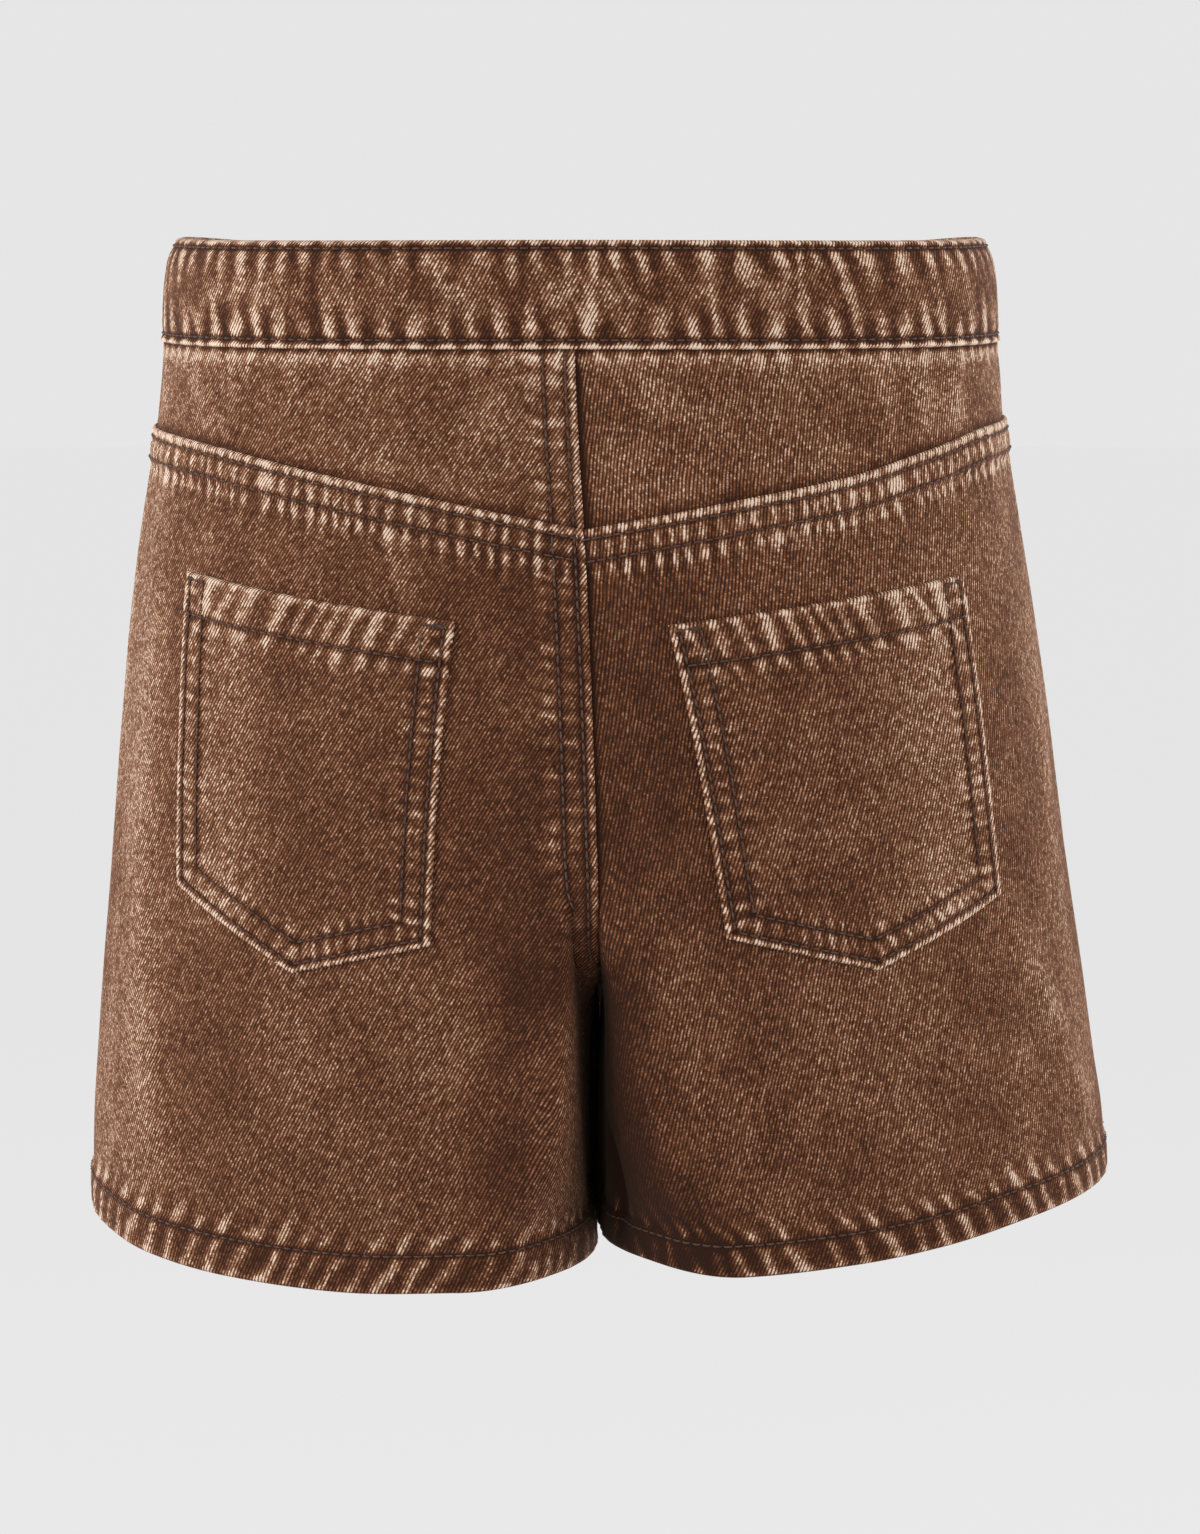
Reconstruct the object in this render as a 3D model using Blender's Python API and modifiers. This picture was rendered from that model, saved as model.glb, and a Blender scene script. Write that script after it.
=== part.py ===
"""Denim skort: shorts at the back, with a wrap skirt panel over the front.

Units are metres and +Z is up. The wearer faces -Y and the wearer's left is +X. The origin is the middle
of the waist, at half the height of the waistband. Each panel is an open sheet on the inside of the
cloth, lofted through sections of the garment, and a Solidify modifier gives it its wall, outwards. A
vertex group scales that wall, so that hems and felled seams stand out over a plain inside.
"""

from functools import partial
from typing import NamedTuple

import bmesh
import bpy
import numpy as np
from mathutils import Vector

# Sizes below are in millimetres, as on a maker's pattern, and this turns them into Blender's metres.
MM = 0.001

# Walls
CLOTH = 1.4
FOLDED = 2.3
FELLED = 2.6
POCKET_EDGE_WALL = 2.0
MOST_WALL = 4.0

# Seams
SEAM_GAP = 0.4
LAYER_GAP = 0.3
FELL_WIDTH = 11.0
PLAIN_WIDTH = 14.0
SLOPE = 1.6

# Waistband
BAND_HEIGHT = 37.0
BAND_WALL = 3.2
BAND_EDGE_WALL = 3.7
BAND_EDGE_WIDTH = 2.6
BAND_INSET = 1.2
BAND_TOP_END = 0.58
BAND_UNDER_END = 0.88
BAND_STEPS = 14
BAND_END_STEPS = 6

# Height of the middle of the band at the centre back, the side seams and the centre front
WAIST_BACK = 1.0
WAIST_SIDE = -0.6
WAIST_FRONT = -13.0

# Heights that the panels share
HIP_LEVEL = -145.0
CLEFT_TOP = -175.0
CROTCH = -247.5
INSEAM_TOP_Y = 4.6
INSEAM_HEM_Y = -4.0
HEM_LEVEL = -340.0

# Power of the body's section: 2 is an ellipse, and more is squarer
ROUNDNESS = 2.12

# Where the inner sides of the legs almost touch: distance of the cloth from the middle plane, and how far
# the narrow gap between them bends sideways from back to front
TOUCH_LEFT = 3.2
TOUCH_RIGHT = 2.3
SWAY = 1.7

# Points of a section from the side seam to the corner, and round it
SECTION_STEPS = 60
BEND_STEPS = 12

# Columns of a panel's grid on the outer part of the back and front, round the corner to the inner side of
# a leg, and along that side
BACK_STEPS = 14
FRONT_STEPS = 9
TURN_STEPS = 5
INNER_STEPS = 4

# Rows of a yoke's grid
YOKE_ROWS = 5

# Skirt panel
SKIRT_EASE = 3.2
SKIRT_EDGE = 0.58
SKIRT_HEM_CENTRE = -341.0
SKIRT_EDGE_WIDTH = 12.0

# Pockets
POCKET_HEM_WIDTH = 14.4
POCKET_EDGE_WIDTH = 10.6

# Button. Its place is a share of the way from the side seam to the centre front.
BUTTON_PLACE = BAND_TOP_END + 0.09
BUTTON_STEPS = 28
BUTTON_RADIUS = 8.5
BUTTON_RIM = 1.1
BUTTON_THICKNESS = 3.2
SHANK_RADIUS = 2.8
SHANK_LENGTH = 0.9

BUTTON_DISH = 0.7

LEFT, RIGHT = 1, -1
BACK, FRONT = 1, -1

# Depth of the hems, which on the right leg turns in a little more
HEM_WIDTH = {LEFT: 14.6, RIGHT: 12.2}

# Mean colour of each panel and of the button, as sRGB
COLOURS = {
    "waistband": "#745240",
    "yoke_left": "#7E5945",
    "yoke_right": "#75513F",
    "back_left": "#6C4B38",
    "back_right": "#694935",
    "front_left": "#684733",
    "front_right": "#684733",
    "skirt_front": "#6E4D3A",
    "pocket_left": "#745341",
    "pocket_right": "#6F4E3D",
    "waist_button": "#7A5C38",
}


class Level(NamedTuple):
    """Section of the body at one height, on the inside of the cloth.

    lean and seam are how far to the wearer's left the side seams and the centre seams lie.
    """

    height: float
    half_width: float
    back: float
    front: float
    lean: float
    seam: float


class Cleft(NamedTuple):
    """Where the legs part, at one height.

    left_corner, right_corner and drop are the widths and the depth of the bend from the back of a leg to
    its inner side. back_end and front_end say how far from the middle the centre seams lie, as a share of
    the body's depth. left and right are the distances of the legs' inner sides from the middle plane.
    """

    height: float
    left_corner: float
    right_corner: float
    drop: float
    back_end: float
    front_end: float
    left: float
    right: float


LEVELS = (
    Level(24.0, 137.5, 100.6, 98.0, -0.5, 1.3),
    Level(16.0, 143.2, 101.4, 98.3, -0.5, 1.3),
    Level(8.0, 146.2, 102.0, 98.7, -0.5, 1.2),
    Level(-4.0, 147.5, 102.9, 99.3, -0.5, 1.1),
    Level(-20.0, 148.0, 104.2, 100.2, -0.5, 0.9),
    Level(-48.0, 150.6, 107.6, 101.8, -0.5, -0.3),
    Level(-80.0, 155.6, 112.4, 103.6, -0.5, -2.3),
    Level(-113.0, 160.4, 117.0, 105.6, -1.0, -3.9),
    Level(-145.0, 164.6, 119.6, 107.0, -1.9, -5.2),
    Level(-178.0, 168.7, 120.8, 108.2, -2.6, -6.3),
    Level(-212.0, 172.7, 121.2, 109.2, -3.7, -7.2),
    Level(-245.0, 176.8, 121.2, 110.0, -4.8, -7.5),
    Level(-278.0, 180.5, 120.6, 110.8, -5.9, -7.5),
    Level(-301.0, 183.0, 120.0, 111.2, -6.9, -7.5),
    Level(-323.0, 183.8, 119.6, 111.6, -7.2, -7.5),
    Level(-345.0, 183.2, 119.4, 112.0, -7.3, -7.5),
)

CLEFTS = (
    Cleft(-175.0, 26.0, 26.0, 0.0, 1.00, 1.00, 0.2, 0.2),
    Cleft(-198.0, 12.0, 20.0, 1.6, 0.988, 0.985, 8.0, 0.4),
    Cleft(-213.0, 7.0, 11.0, 6.0, 0.95, 0.94, 10.3, 1.0),
    Cleft(-223.0, 6.5, 9.0, 11.0, 0.90, 0.86, 10.0, 1.5),
    Cleft(-231.0, 6.5, 9.5, 15.0, 0.80, 0.73, 9.5, 2.0),
    Cleft(-237.0, 7.0, 10.5, 18.0, 0.66, 0.57, 9.0, 2.5),
    Cleft(-241.5, 7.5, 11.5, 19.0, 0.47, 0.37, 8.9, 2.8),
    Cleft(-245.0, 8.0, 12.0, 19.0, 0.25, 0.15, 8.8, 3.0),
    Cleft(-247.5, 8.0, 12.5, 19.0, 0.04, -0.04, 8.7, 3.1),
    Cleft(-262.0, 8.5, 15.0, 20.0, 0.03, -0.03, 8.6, 3.3),
    Cleft(-281.0, 11.0, 20.0, 26.0, 0.01, -0.01, 8.0, 3.4),
    Cleft(-303.0, 20.0, 28.0, 42.0, -0.01, 0.01, 7.0, 3.5),
    Cleft(-322.0, 36.0, 42.0, 58.0, -0.02, 0.02, 6.0, 3.5),
    Cleft(-345.0, 48.0, 50.0, 70.0, -0.03, 0.03, 5.4, 3.5),
)

# Yoke seam: share of the way from the side seam to the centre back, then its height
YOKE_LEFT = ((0.0, -49.3), (0.20, -50.7), (0.36, -53.6), (0.55, -60.0), (0.80, -69.7), (1.0, -78.3))
YOKE_RIGHT = ((0.0, -46.3), (0.20, -47.8), (0.40, -54.8), (0.55, -61.8), (0.75, -68.8), (1.0, -78.3))

# Hems: share of the way from the side seam to the inseam, then the height of the edge
HEM_LEFT = (
    (0.00, -332.5),
    (0.10, -334.6),
    (0.20, -338.8),
    (0.32, -341.8),
    (0.46, -343.1),
    (0.58, -341.0),
    (0.70, -338.5),
    (1.00, -337.5),
)
HEM_RIGHT = (
    (0.00, -319.5),
    (0.12, -321.2),
    (0.23, -324.2),
    (0.35, -329.8),
    (0.45, -333.3),
    (0.58, -335.6),
    (0.70, -332.8),
    (1.00, -331.8),
)

# Pocket corners: distance along the cloth from the side seam, then height, going from the outer top
# corner to the inner top, the inner bottom, the point and the outer bottom
POCKET_LEFT = ((68.5, -96.3), (178.0, -109.2), (181.0, -220.0), (131.5, -232.0), (79.5, -205.5))
POCKET_RIGHT = ((76.0, -97.0), (192.0, -110.0), (189.5, -217.0), (137.0, -230.5), (81.0, -209.0))


def through(table, at):
    """Every column of a table at a value of its first one, on a smooth curve that never overshoots."""
    rows = np.array(table, dtype=float)
    if rows[0, 0] > rows[-1, 0]:
        rows = rows[::-1]
    keys = rows[:, 0]
    chords = np.diff(rows, axis=0) / np.diff(keys)[:, None]
    product = chords[:-1] * chords[1:]
    total = chords[:-1] + chords[1:]
    inner = np.where(product > 0, 2 * product / np.where(total == 0, 1, total), 0)
    slopes = np.vstack([chords[:1], inner, chords[-1:]])
    i = int(np.clip(np.searchsorted(keys, at) - 1, 0, len(keys) - 2))
    width = keys[i + 1] - keys[i]
    t = (at - keys[i]) / width
    return (
        (2 * t**3 - 3 * t**2 + 1) * rows[i]
        + (t**3 - 2 * t**2 + t) * width * slopes[i]
        + (3 * t**2 - 2 * t**3) * rows[i + 1]
        + (t**3 - t**2) * width * slopes[i + 1]
    )


def smooth(t):
    """0 to 1 with level ends."""
    t = np.clip(t, 0.0, 1.0)
    return t * t * (3 - 2 * t)


def waist_height(face, share):
    """Middle of the waistband, from a side seam (share 0) to the centre back or front (share 1)."""
    centre = WAIST_BACK if face == BACK else WAIST_FRONT
    return WAIST_SIDE + (centre - WAIST_SIDE) * smooth(share)


class Quarter:
    """A quarter of the garment, from a side seam to the centre seam or, on a leg, to the inseam."""

    def __init__(self, side, face, inset_side=0.0, inset_centre=0.0, legs=True):
        self.side = side
        self.face = face
        self.inset_side = inset_side
        self.inset_centre = inset_centre
        self.legs = legs
        self.known = {}

    def curve(self, height):
        """Points of the section at a height, and the distance along the cloth to each."""
        key = round(height, 4)
        if key not in self.known:
            self.known[key] = self.section(height)
        return self.known[key]

    def section(self, height):
        """Works out what curve gives, and the distances at which the corner's bend starts and ends."""
        level = Level(*through(LEVELS, height))
        half_width = level.half_width - self.inset_side
        depth = (level.back if self.face == BACK else level.front) - self.inset_centre
        inner, corner, drop, end = SEAM_GAP / 2, 26.0, 0.0, depth
        if self.legs and height < CLEFT_TOP:
            cleft = Cleft(*through(CLEFTS, height))
            inner = cleft.left if self.side == LEFT else cleft.right
            corner = cleft.left_corner if self.side == LEFT else cleft.right_corner
            end = depth * (cleft.back_end if self.face == BACK else cleft.front_end)
            if height <= CROTCH:
                down = (height - CROTCH) / (HEM_LEVEL - CROTCH)
                inseam = INSEAM_TOP_Y + (INSEAM_HEM_Y - INSEAM_TOP_Y) * down
                end = self.face * inseam + SEAM_GAP / 2
            drop = cleft.drop
        start = inner + corner
        turn = np.linspace(0, 1, SECTION_STEPS + 1) * np.arccos((start / half_width) ** (ROUNDNESS / 2))
        across = half_width * np.cos(turn) ** (2 / ROUNDNESS)
        deep = depth * np.sin(turn) ** (2 / ROUNDNESS)
        drop = min(drop, deep[-1] - end) if self.legs and height < CLEFT_TOP else 0.0
        bend = np.linspace(0, np.pi / 2, BEND_STEPS + 1)[1:]
        round_x = inner + corner * (1 - np.sin(bend))
        if drop > 0:
            round_y = deep[-1] - drop * (1 - np.cos(bend))
            straight = np.linspace(0, 1, BEND_STEPS + 1)[1:]
            side_y = round_y[-1] + (end - round_y[-1]) * straight
            side_x = inner + (self.touch(height) - inner) * smooth(straight * 1.6)
            bow = SWAY * np.clip(self.face * side_y / 30, -1, 1) * smooth((CROTCH - height) / 25)
            side_x = side_x + self.side * bow * smooth(straight * 1.6)
        else:
            round_y = depth * (1 - (round_x / half_width) ** ROUNDNESS) ** (1 / ROUNDNESS)
            side_x, side_y = np.empty(0), np.empty(0)
        x = np.concatenate([across, round_x, side_x])
        y = np.concatenate([deep, round_y, side_y])
        shift = level.seam + (level.lean - level.seam) * x / half_width
        points = np.stack([shift + self.side * x, self.face * y], axis=1)
        lengths = np.concatenate([[0], np.cumsum(np.hypot(*np.diff(points, axis=0).T))])
        return points, lengths, (lengths[SECTION_STEPS], lengths[SECTION_STEPS + BEND_STEPS])

    def touch(self, height):
        """How near the middle plane the inside of the cloth comes where the legs almost touch."""
        touch = TOUCH_LEFT if self.side == LEFT else TOUCH_RIGHT
        return SEAM_GAP / 2 + (touch - SEAM_GAP / 2) * smooth((CLEFT_TOP - height) / 90)

    def length(self, height):
        """Distance along the cloth from the side seam to the centre."""
        return self.curve(height)[1][-1]

    def point(self, height, along):
        """Point on the inside of the cloth, a distance along it from the side seam."""
        points, lengths, _ = self.curve(height)
        x = np.interp(along, lengths, points[:, 0])
        y = np.interp(along, lengths, points[:, 1])
        return np.array([x, y, height])

    def normal(self, height, along):
        """Direction out of the cloth."""
        reach = min(max(along, 1.0), self.length(height) - 1.0)
        run = self.point(height, reach + 1.0) - self.point(height, reach - 1.0)
        fall = self.point(height - 1.0, reach) - self.point(height + 1.0, reach)
        out = np.cross(fall, run) * self.side * self.face
        return out / np.linalg.norm(out)

    def columns(self, height, outer, band):
        """Distances along the cloth: even to the corner, round it, up the inner side, then the seam."""
        _, lengths, marks = self.curve(height)
        total = lengths[-1]
        last = total - band - SLOPE
        turn_end = min(marks[1], last - 6.0)
        turn_start = min(marks[0], last - 18.0)
        return np.concatenate(
            [
                np.linspace(SEAM_GAP / 2, turn_start, outer + 1),
                np.linspace(turn_start, turn_end, TURN_STEPS + 1)[1:],
                np.linspace(turn_end, last, INNER_STEPS + 1)[1:],
                [total - band, total],
            ]
        )


def flipped(side, face):
    """Whether rows that run down and columns that run to the centre turn a face outwards."""
    return side * face < 0


def linear(code):
    """Linear colour of an sRGB hex code, with full opacity."""
    values = [int(code[i : i + 2], 16) / 255 for i in (1, 3, 5)]
    return (*(v / 12.92 if v <= 0.04045 else ((v + 0.055) / 1.055) ** 2.4 for v in values), 1.0)


def new_material(node, finish, roughness, metallic=0.0):
    """The material of one node, in its own colour."""
    material = bpy.data.materials.new(f"{node}_{finish}")
    material.use_nodes = True
    shader = material.node_tree.nodes["Principled BSDF"]
    shader.inputs["Base Color"].default_value = linear(COLOURS[node])
    shader.inputs["Roughness"].default_value = roughness
    shader.inputs["Metallic"].default_value = metallic
    return material


def add_sheet(name, points, walls, flip, collection):
    """An open sheet of denim lofted through rows of points, with a wall that its vertex group scales."""
    mesh = bmesh.new()
    rows, columns = points.shape[:2]
    grid = [[mesh.verts.new(points[i, j] * MM) for j in range(columns)] for i in range(rows)]
    for i in range(rows - 1):
        for j in range(columns - 1):
            corners = [grid[i][j], grid[i + 1][j], grid[i + 1][j + 1], grid[i][j + 1]]
            mesh.faces.new(corners[::-1] if flip else corners)
    data = bpy.data.meshes.new(name)
    mesh.to_mesh(data)
    mesh.free()
    data.shade_smooth()
    data.materials.append(new_material(name, "washed_denim", 0.92))
    sheet = bpy.data.objects.new(name, data)
    collection.objects.link(sheet)
    group = sheet.vertex_groups.new(name="wall")
    for index, wall in enumerate(np.ravel(walls)):
        group.add([index], wall / MOST_WALL, "REPLACE")
    solidify = sheet.modifiers.new("wall", "SOLIDIFY")
    solidify.thickness = MOST_WALL * MM
    solidify.offset = 1.0
    solidify.vertex_group = group.name
    solidify.thickness_vertex_group = 0.0
    solidify.use_even_offset = False
    return sheet


def yoke_height(side, share):
    """Height of the yoke seam."""
    return through(YOKE_LEFT if side == LEFT else YOKE_RIGHT, share)[1]


def hem_height(side, share):
    """Height of a leg's lower edge."""
    return through(HEM_LEFT if side == LEFT else HEM_RIGHT, share)[1]


def band_edge(face, share):
    """Lower edge of the waistband."""
    return waist_height(face, share) - BAND_HEIGHT / 2


def column_walls(count, wall, edge_wall):
    """Walls of a row whose last two columns belong to a felled centre seam."""
    walls = np.full(count, wall)
    walls[-2:] = np.maximum(walls[-2:], edge_wall)
    return walls


def make_yoke(side, collection):
    """A back yoke. The left one laps the other at the centre back."""
    quarter = Quarter(side, BACK)
    fell = FELLED if side == LEFT else CLOTH
    rows, walls = [], []
    middle = yoke_height(side, 0.5)
    shares = quarter.columns(middle, BACK_STEPS, FELL_WIDTH) / quarter.length(middle)
    for step in np.linspace(0, 1, YOKE_ROWS):
        row = []
        for column, share in enumerate(shares):
            top = band_edge(BACK, share) - SEAM_GAP
            bottom = yoke_height(side, share) + SEAM_GAP / 2
            height = top + (bottom - top) * step
            along = quarter.columns(height, BACK_STEPS, FELL_WIDTH)[column]
            row.append(quarter.point(height, along))
        rows.append(row)
        walls.append(column_walls(len(shares), CLOTH, fell))
    name = "yoke_left" if side == LEFT else "yoke_right"
    return add_sheet(name, np.array(rows), np.array(walls), flipped(side, BACK), collection)


def make_leg(name, quarter, outer, top_of, collection):
    """A leg panel. Its rows run from top_of to the hem and follow the crotch seam on the way."""
    shares = quarter.columns(HIP_LEVEL, outer, FELL_WIDTH) / quarter.length(HIP_LEVEL)
    low_shares = quarter.columns(HEM_LEVEL, outer, FELL_WIDTH) / quarter.length(HEM_LEVEL)
    felled = quarter.face == BACK
    side_fell = FELLED if felled and quarter.side == LEFT else CLOTH
    top_width = FELL_WIDTH + SLOPE if felled else PLAIN_WIDTH
    hem_width = HEM_WIDTH[quarter.side]
    rows, walls = [], []
    plan = []
    if felled:
        plan += [("top", 0.0, FELLED), ("top", FELL_WIDTH, FELLED - 0.2), ("top", top_width, CLOTH)]
    else:
        plan += [("top", 0.0, CLOTH), ("top", top_width, CLOTH)]
    plan += [("body", step, CLOTH) for step in (0.2, 0.4, 0.6, 0.8, 1.0)]
    plan += [("level", cleft.height, CLOTH) for cleft in CLEFTS[1:] if cleft.height >= CROTCH]
    plan += [("leg", step, CLOTH) for step in (0.2, 0.42, 0.66)]
    plan += [("hem", hem_width + SLOPE, CLOTH), ("hem", hem_width, FOLDED), ("hem", 0.0, FOLDED)]
    for kind, value, wall in plan:
        row = []
        for column, share in enumerate(shares):
            top = top_of(share) - SEAM_GAP
            first = top - top_width
            hem = hem_height(quarter.side, low_shares[column])
            height = {
                "top": top - value,
                "body": first + (CLEFT_TOP - first) * value,
                "level": value,
                "leg": CROTCH + (hem + hem_width + SLOPE - CROTCH) * value,
                "hem": hem + value,
            }[kind]
            along = quarter.columns(height, outer, FELL_WIDTH)[column]
            row.append(quarter.point(height, along))
        rows.append(row)
        walls.append(column_walls(len(shares), wall, side_fell))
    flip = flipped(quarter.side, quarter.face)
    return add_sheet(name, np.array(rows), np.array(walls), flip, collection)


def make_skirt(collection):
    """The wrap panel, from its free edge at the wearer's left to the side seam at the right."""
    left = Quarter(LEFT, FRONT, legs=False)
    right = Quarter(RIGHT, FRONT, legs=False)
    left_shares = np.linspace(SKIRT_EDGE, 1, 6)[:-1]
    right_shares = np.linspace(1, 0, 13)
    edge = SKIRT_EDGE + SKIRT_EDGE_WIDTH / left.length(HIP_LEVEL)
    slope = SLOPE / left.length(HIP_LEVEL)
    left_shares = np.concatenate([[SKIRT_EDGE, edge, edge + slope], left_shares[1:]])
    places = [(left, share) for share in left_shares] + [(right, share) for share in right_shares]
    hem_width = HEM_WIDTH[LEFT]
    plan = [(step, 0.0) for step in np.linspace(0, 1, 10)] + [(1.0, SLOPE), (1.0, SLOPE + hem_width)]
    rows, walls = [], []
    for step, extra in plan:
        row = []
        for quarter, share in places:
            top = band_edge(FRONT, share) - SEAM_GAP
            at_side = hem_height(quarter.side, 0.0)
            hem = at_side + (SKIRT_HEM_CENTRE - at_side) * smooth(share * 1.6)
            last = hem + hem_width + SLOPE
            height = top + (last - top) * step - extra
            along = max(share * quarter.length(height), SEAM_GAP / 2)
            row.append(quarter.point(height, along))
        wall = FOLDED if extra > 0 else CLOTH
        line = np.full(len(places), wall)
        line[:2] = FOLDED
        rows.append(row)
        walls.append(line)
    return add_sheet("skirt_front", np.array(rows), np.array(walls), True, collection)


def make_band(collection):
    """The waistband: one strip that starts under its own end at the wearer's left front."""
    loops = {(s, f): Quarter(s, f, legs=False) for s in (LEFT, RIGHT) for f in (BACK, FRONT)}
    steps = np.linspace(0, 1, BAND_STEPS + 1)
    under = np.linspace(BAND_UNDER_END, 0, BAND_STEPS)
    path = [(LEFT, FRONT, share, True) for share in under]
    path += [(LEFT, BACK, share, False) for share in steps[1:]]
    path += [(RIGHT, BACK, share, False) for share in steps[::-1]]
    path += [(RIGHT, FRONT, share, False) for share in steps[1:]]
    path += [(LEFT, FRONT, share, False) for share in np.linspace(1, BAND_TOP_END, BAND_END_STEPS + 1)]
    profile = (
        (0.0, BAND_EDGE_WALL - 0.3),
        (0.9, BAND_EDGE_WALL),
        (BAND_EDGE_WIDTH, BAND_EDGE_WALL - 0.1),
        (BAND_EDGE_WIDTH + 1.4, BAND_WALL),
        (BAND_HEIGHT - BAND_EDGE_WIDTH - 1.4, BAND_WALL),
        (BAND_HEIGHT - BAND_EDGE_WIDTH, BAND_EDGE_WALL - 0.2),
        (BAND_HEIGHT - 0.8, BAND_EDGE_WALL - 0.2),
        (BAND_HEIGHT, BAND_WALL - 0.2),
    )
    rows, walls = [], []
    for up, wall in profile:
        row = []
        for side, face, share, beneath in path:
            quarter = loops[side, face]
            height = band_edge(face, share) + up
            along = share * quarter.length(height)
            sunk = smooth((share - 0.12) / 0.35) * (BAND_WALL + 1.2) if beneath else 0.0
            out = quarter.normal(height, along) * (1, 1, 0)
            row.append(quarter.point(height, along) - out * (BAND_INSET + sunk))
        rows.append(row)
        walls.append([wall] * len(path))
    return add_sheet("waistband", np.array(rows), np.array(walls), True, collection)


def make_pocket(side, corners, collection):
    """A patch pocket on a back panel. Its grid runs from the outer edge in and from the top down."""
    quarter = Quarter(side, BACK)
    outer_top, inner_top, inner_low, point, outer_low = (np.array(corner) for corner in corners)
    width = inner_top[0] - outer_top[0]
    edge, slope = POCKET_EDGE_WIDTH / width, SLOPE / width
    across = np.concatenate(
        [[0, edge, edge + slope], np.linspace(0.18, 0.82, 9), [1 - edge - slope, 1 - edge, 1]]
    )
    rows, walls = [], []
    for kind, value in (
        ("top", 0.0),
        ("top", POCKET_HEM_WIDTH),
        ("top", POCKET_HEM_WIDTH + SLOPE),
        ("body", 0.2),
        ("body", 0.4),
        ("body", 0.6),
        ("body", 0.8),
        ("low", POCKET_EDGE_WIDTH + SLOPE),
        ("low", POCKET_EDGE_WIDTH),
        ("low", 0.0),
    ):
        row, wall_row = [], []
        for share in across:
            top = outer_top + (inner_top - outer_top) * share
            if share < 0.5:
                low = outer_low + (point - outer_low) * share * 2
            else:
                low = point + (inner_low - point) * (share * 2 - 1)
            drop = top[1] - low[1]
            step = {"top": value / drop, "body": value, "low": 1 - value / drop}[kind]
            if kind == "body":
                first = (POCKET_HEM_WIDTH + SLOPE) / drop
                last = 1 - (POCKET_EDGE_WIDTH + SLOPE) / drop
                step = first + (last - first) * value
            along, height = top + (low - top) * step
            base = quarter.point(height, along) + quarter.normal(height, along) * (CLOTH + LAYER_GAP)
            row.append(base)
            on_side = min(share, 1 - share) <= edge + 1e-6
            wall = CLOTH
            if on_side or (kind == "low" and value <= POCKET_EDGE_WIDTH):
                wall = POCKET_EDGE_WALL
            if kind == "top" and value <= POCKET_HEM_WIDTH:
                wall = FOLDED
            wall_row.append(wall)
        rows.append(row)
        walls.append(wall_row)
    name = "pocket_left" if side == LEFT else "pocket_right"
    return add_sheet(name, np.array(rows), np.array(walls), flipped(side, BACK), collection)


def make_button(collection):
    """A shank button, turned about its own axis, on the overlapping end of the waistband."""
    quarter = Quarter(LEFT, FRONT, legs=False)
    height = waist_height(FRONT, BUTTON_PLACE)
    along = BUTTON_PLACE * quarter.length(height)
    out = quarter.normal(height, along)
    foot = quarter.point(height, along) + out * (BAND_WALL - BAND_INSET + LAYER_GAP)
    top = SHANK_LENGTH + BUTTON_THICKNESS
    profile = (
        (0.0, top - BUTTON_DISH),
        (BUTTON_RADIUS - 3.0, top - BUTTON_DISH),
        (BUTTON_RADIUS - 1.8, top),
        (BUTTON_RADIUS - 0.7, top),
        (BUTTON_RADIUS, top - BUTTON_RIM),
        (BUTTON_RADIUS - 0.6, SHANK_LENGTH + 0.3),
        (BUTTON_RADIUS - 1.6, SHANK_LENGTH),
        (SHANK_RADIUS, SHANK_LENGTH),
        (SHANK_RADIUS, 0.0),
        (0.0, 0.0),
    )
    data = bpy.data.meshes.new("waist_button")
    points = [(radius * MM, 0.0, up * MM) for radius, up in profile]
    data.from_pydata(points, [(i, i + 1) for i in range(len(points) - 1)], [])
    data.materials.append(new_material("waist_button", "antique_brass", 0.42, 1.0))
    button = bpy.data.objects.new("waist_button", data)
    collection.objects.link(button)
    screw = button.modifiers.new("turn", "SCREW")
    screw.steps = BUTTON_STEPS
    screw.render_steps = BUTTON_STEPS
    screw.use_merge_vertices = True
    screw.merge_threshold = 0.00001
    screw.use_smooth_shade = True
    button.location = foot * MM
    button.rotation_mode = "QUATERNION"
    button.rotation_quaternion = Vector(out).to_track_quat("Z", "Y")
    return button


def main():
    """Builds the garment."""
    for old in list(bpy.data.objects):
        bpy.data.objects.remove(old, do_unlink=True)
    collection = bpy.data.collections.new("denim_skort")
    bpy.context.scene.collection.children.link(collection)
    make_band(collection)
    for side, word, corners in ((LEFT, "left", POCKET_LEFT), (RIGHT, "right", POCKET_RIGHT)):
        make_yoke(side, collection)
        back = Quarter(side, BACK)
        make_leg(f"back_{word}", back, BACK_STEPS, partial(yoke_height, side), collection)
        make_pocket(side, corners, collection)
        tucked = 0.0 if side == LEFT else FOLDED + LAYER_GAP * 2
        front = Quarter(side, FRONT, tucked, FOLDED + SKIRT_EASE)
        make_leg(f"front_{word}", front, FRONT_STEPS, partial(band_edge, FRONT), collection)
    make_skirt(collection)
    make_button(collection)


if __name__ == "__main__":
    main()
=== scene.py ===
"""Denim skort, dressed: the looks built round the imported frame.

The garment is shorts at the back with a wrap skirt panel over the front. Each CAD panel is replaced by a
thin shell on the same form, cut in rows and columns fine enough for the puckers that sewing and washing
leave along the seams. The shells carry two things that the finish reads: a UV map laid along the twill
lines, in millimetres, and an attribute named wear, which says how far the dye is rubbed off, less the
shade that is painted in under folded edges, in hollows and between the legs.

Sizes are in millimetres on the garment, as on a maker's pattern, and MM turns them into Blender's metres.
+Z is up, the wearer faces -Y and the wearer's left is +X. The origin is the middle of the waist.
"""

import logging
import math
from abc import ABC, abstractmethod
from dataclasses import dataclass, field, fields, replace
from enum import Enum, IntEnum
from typing import NamedTuple

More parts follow.
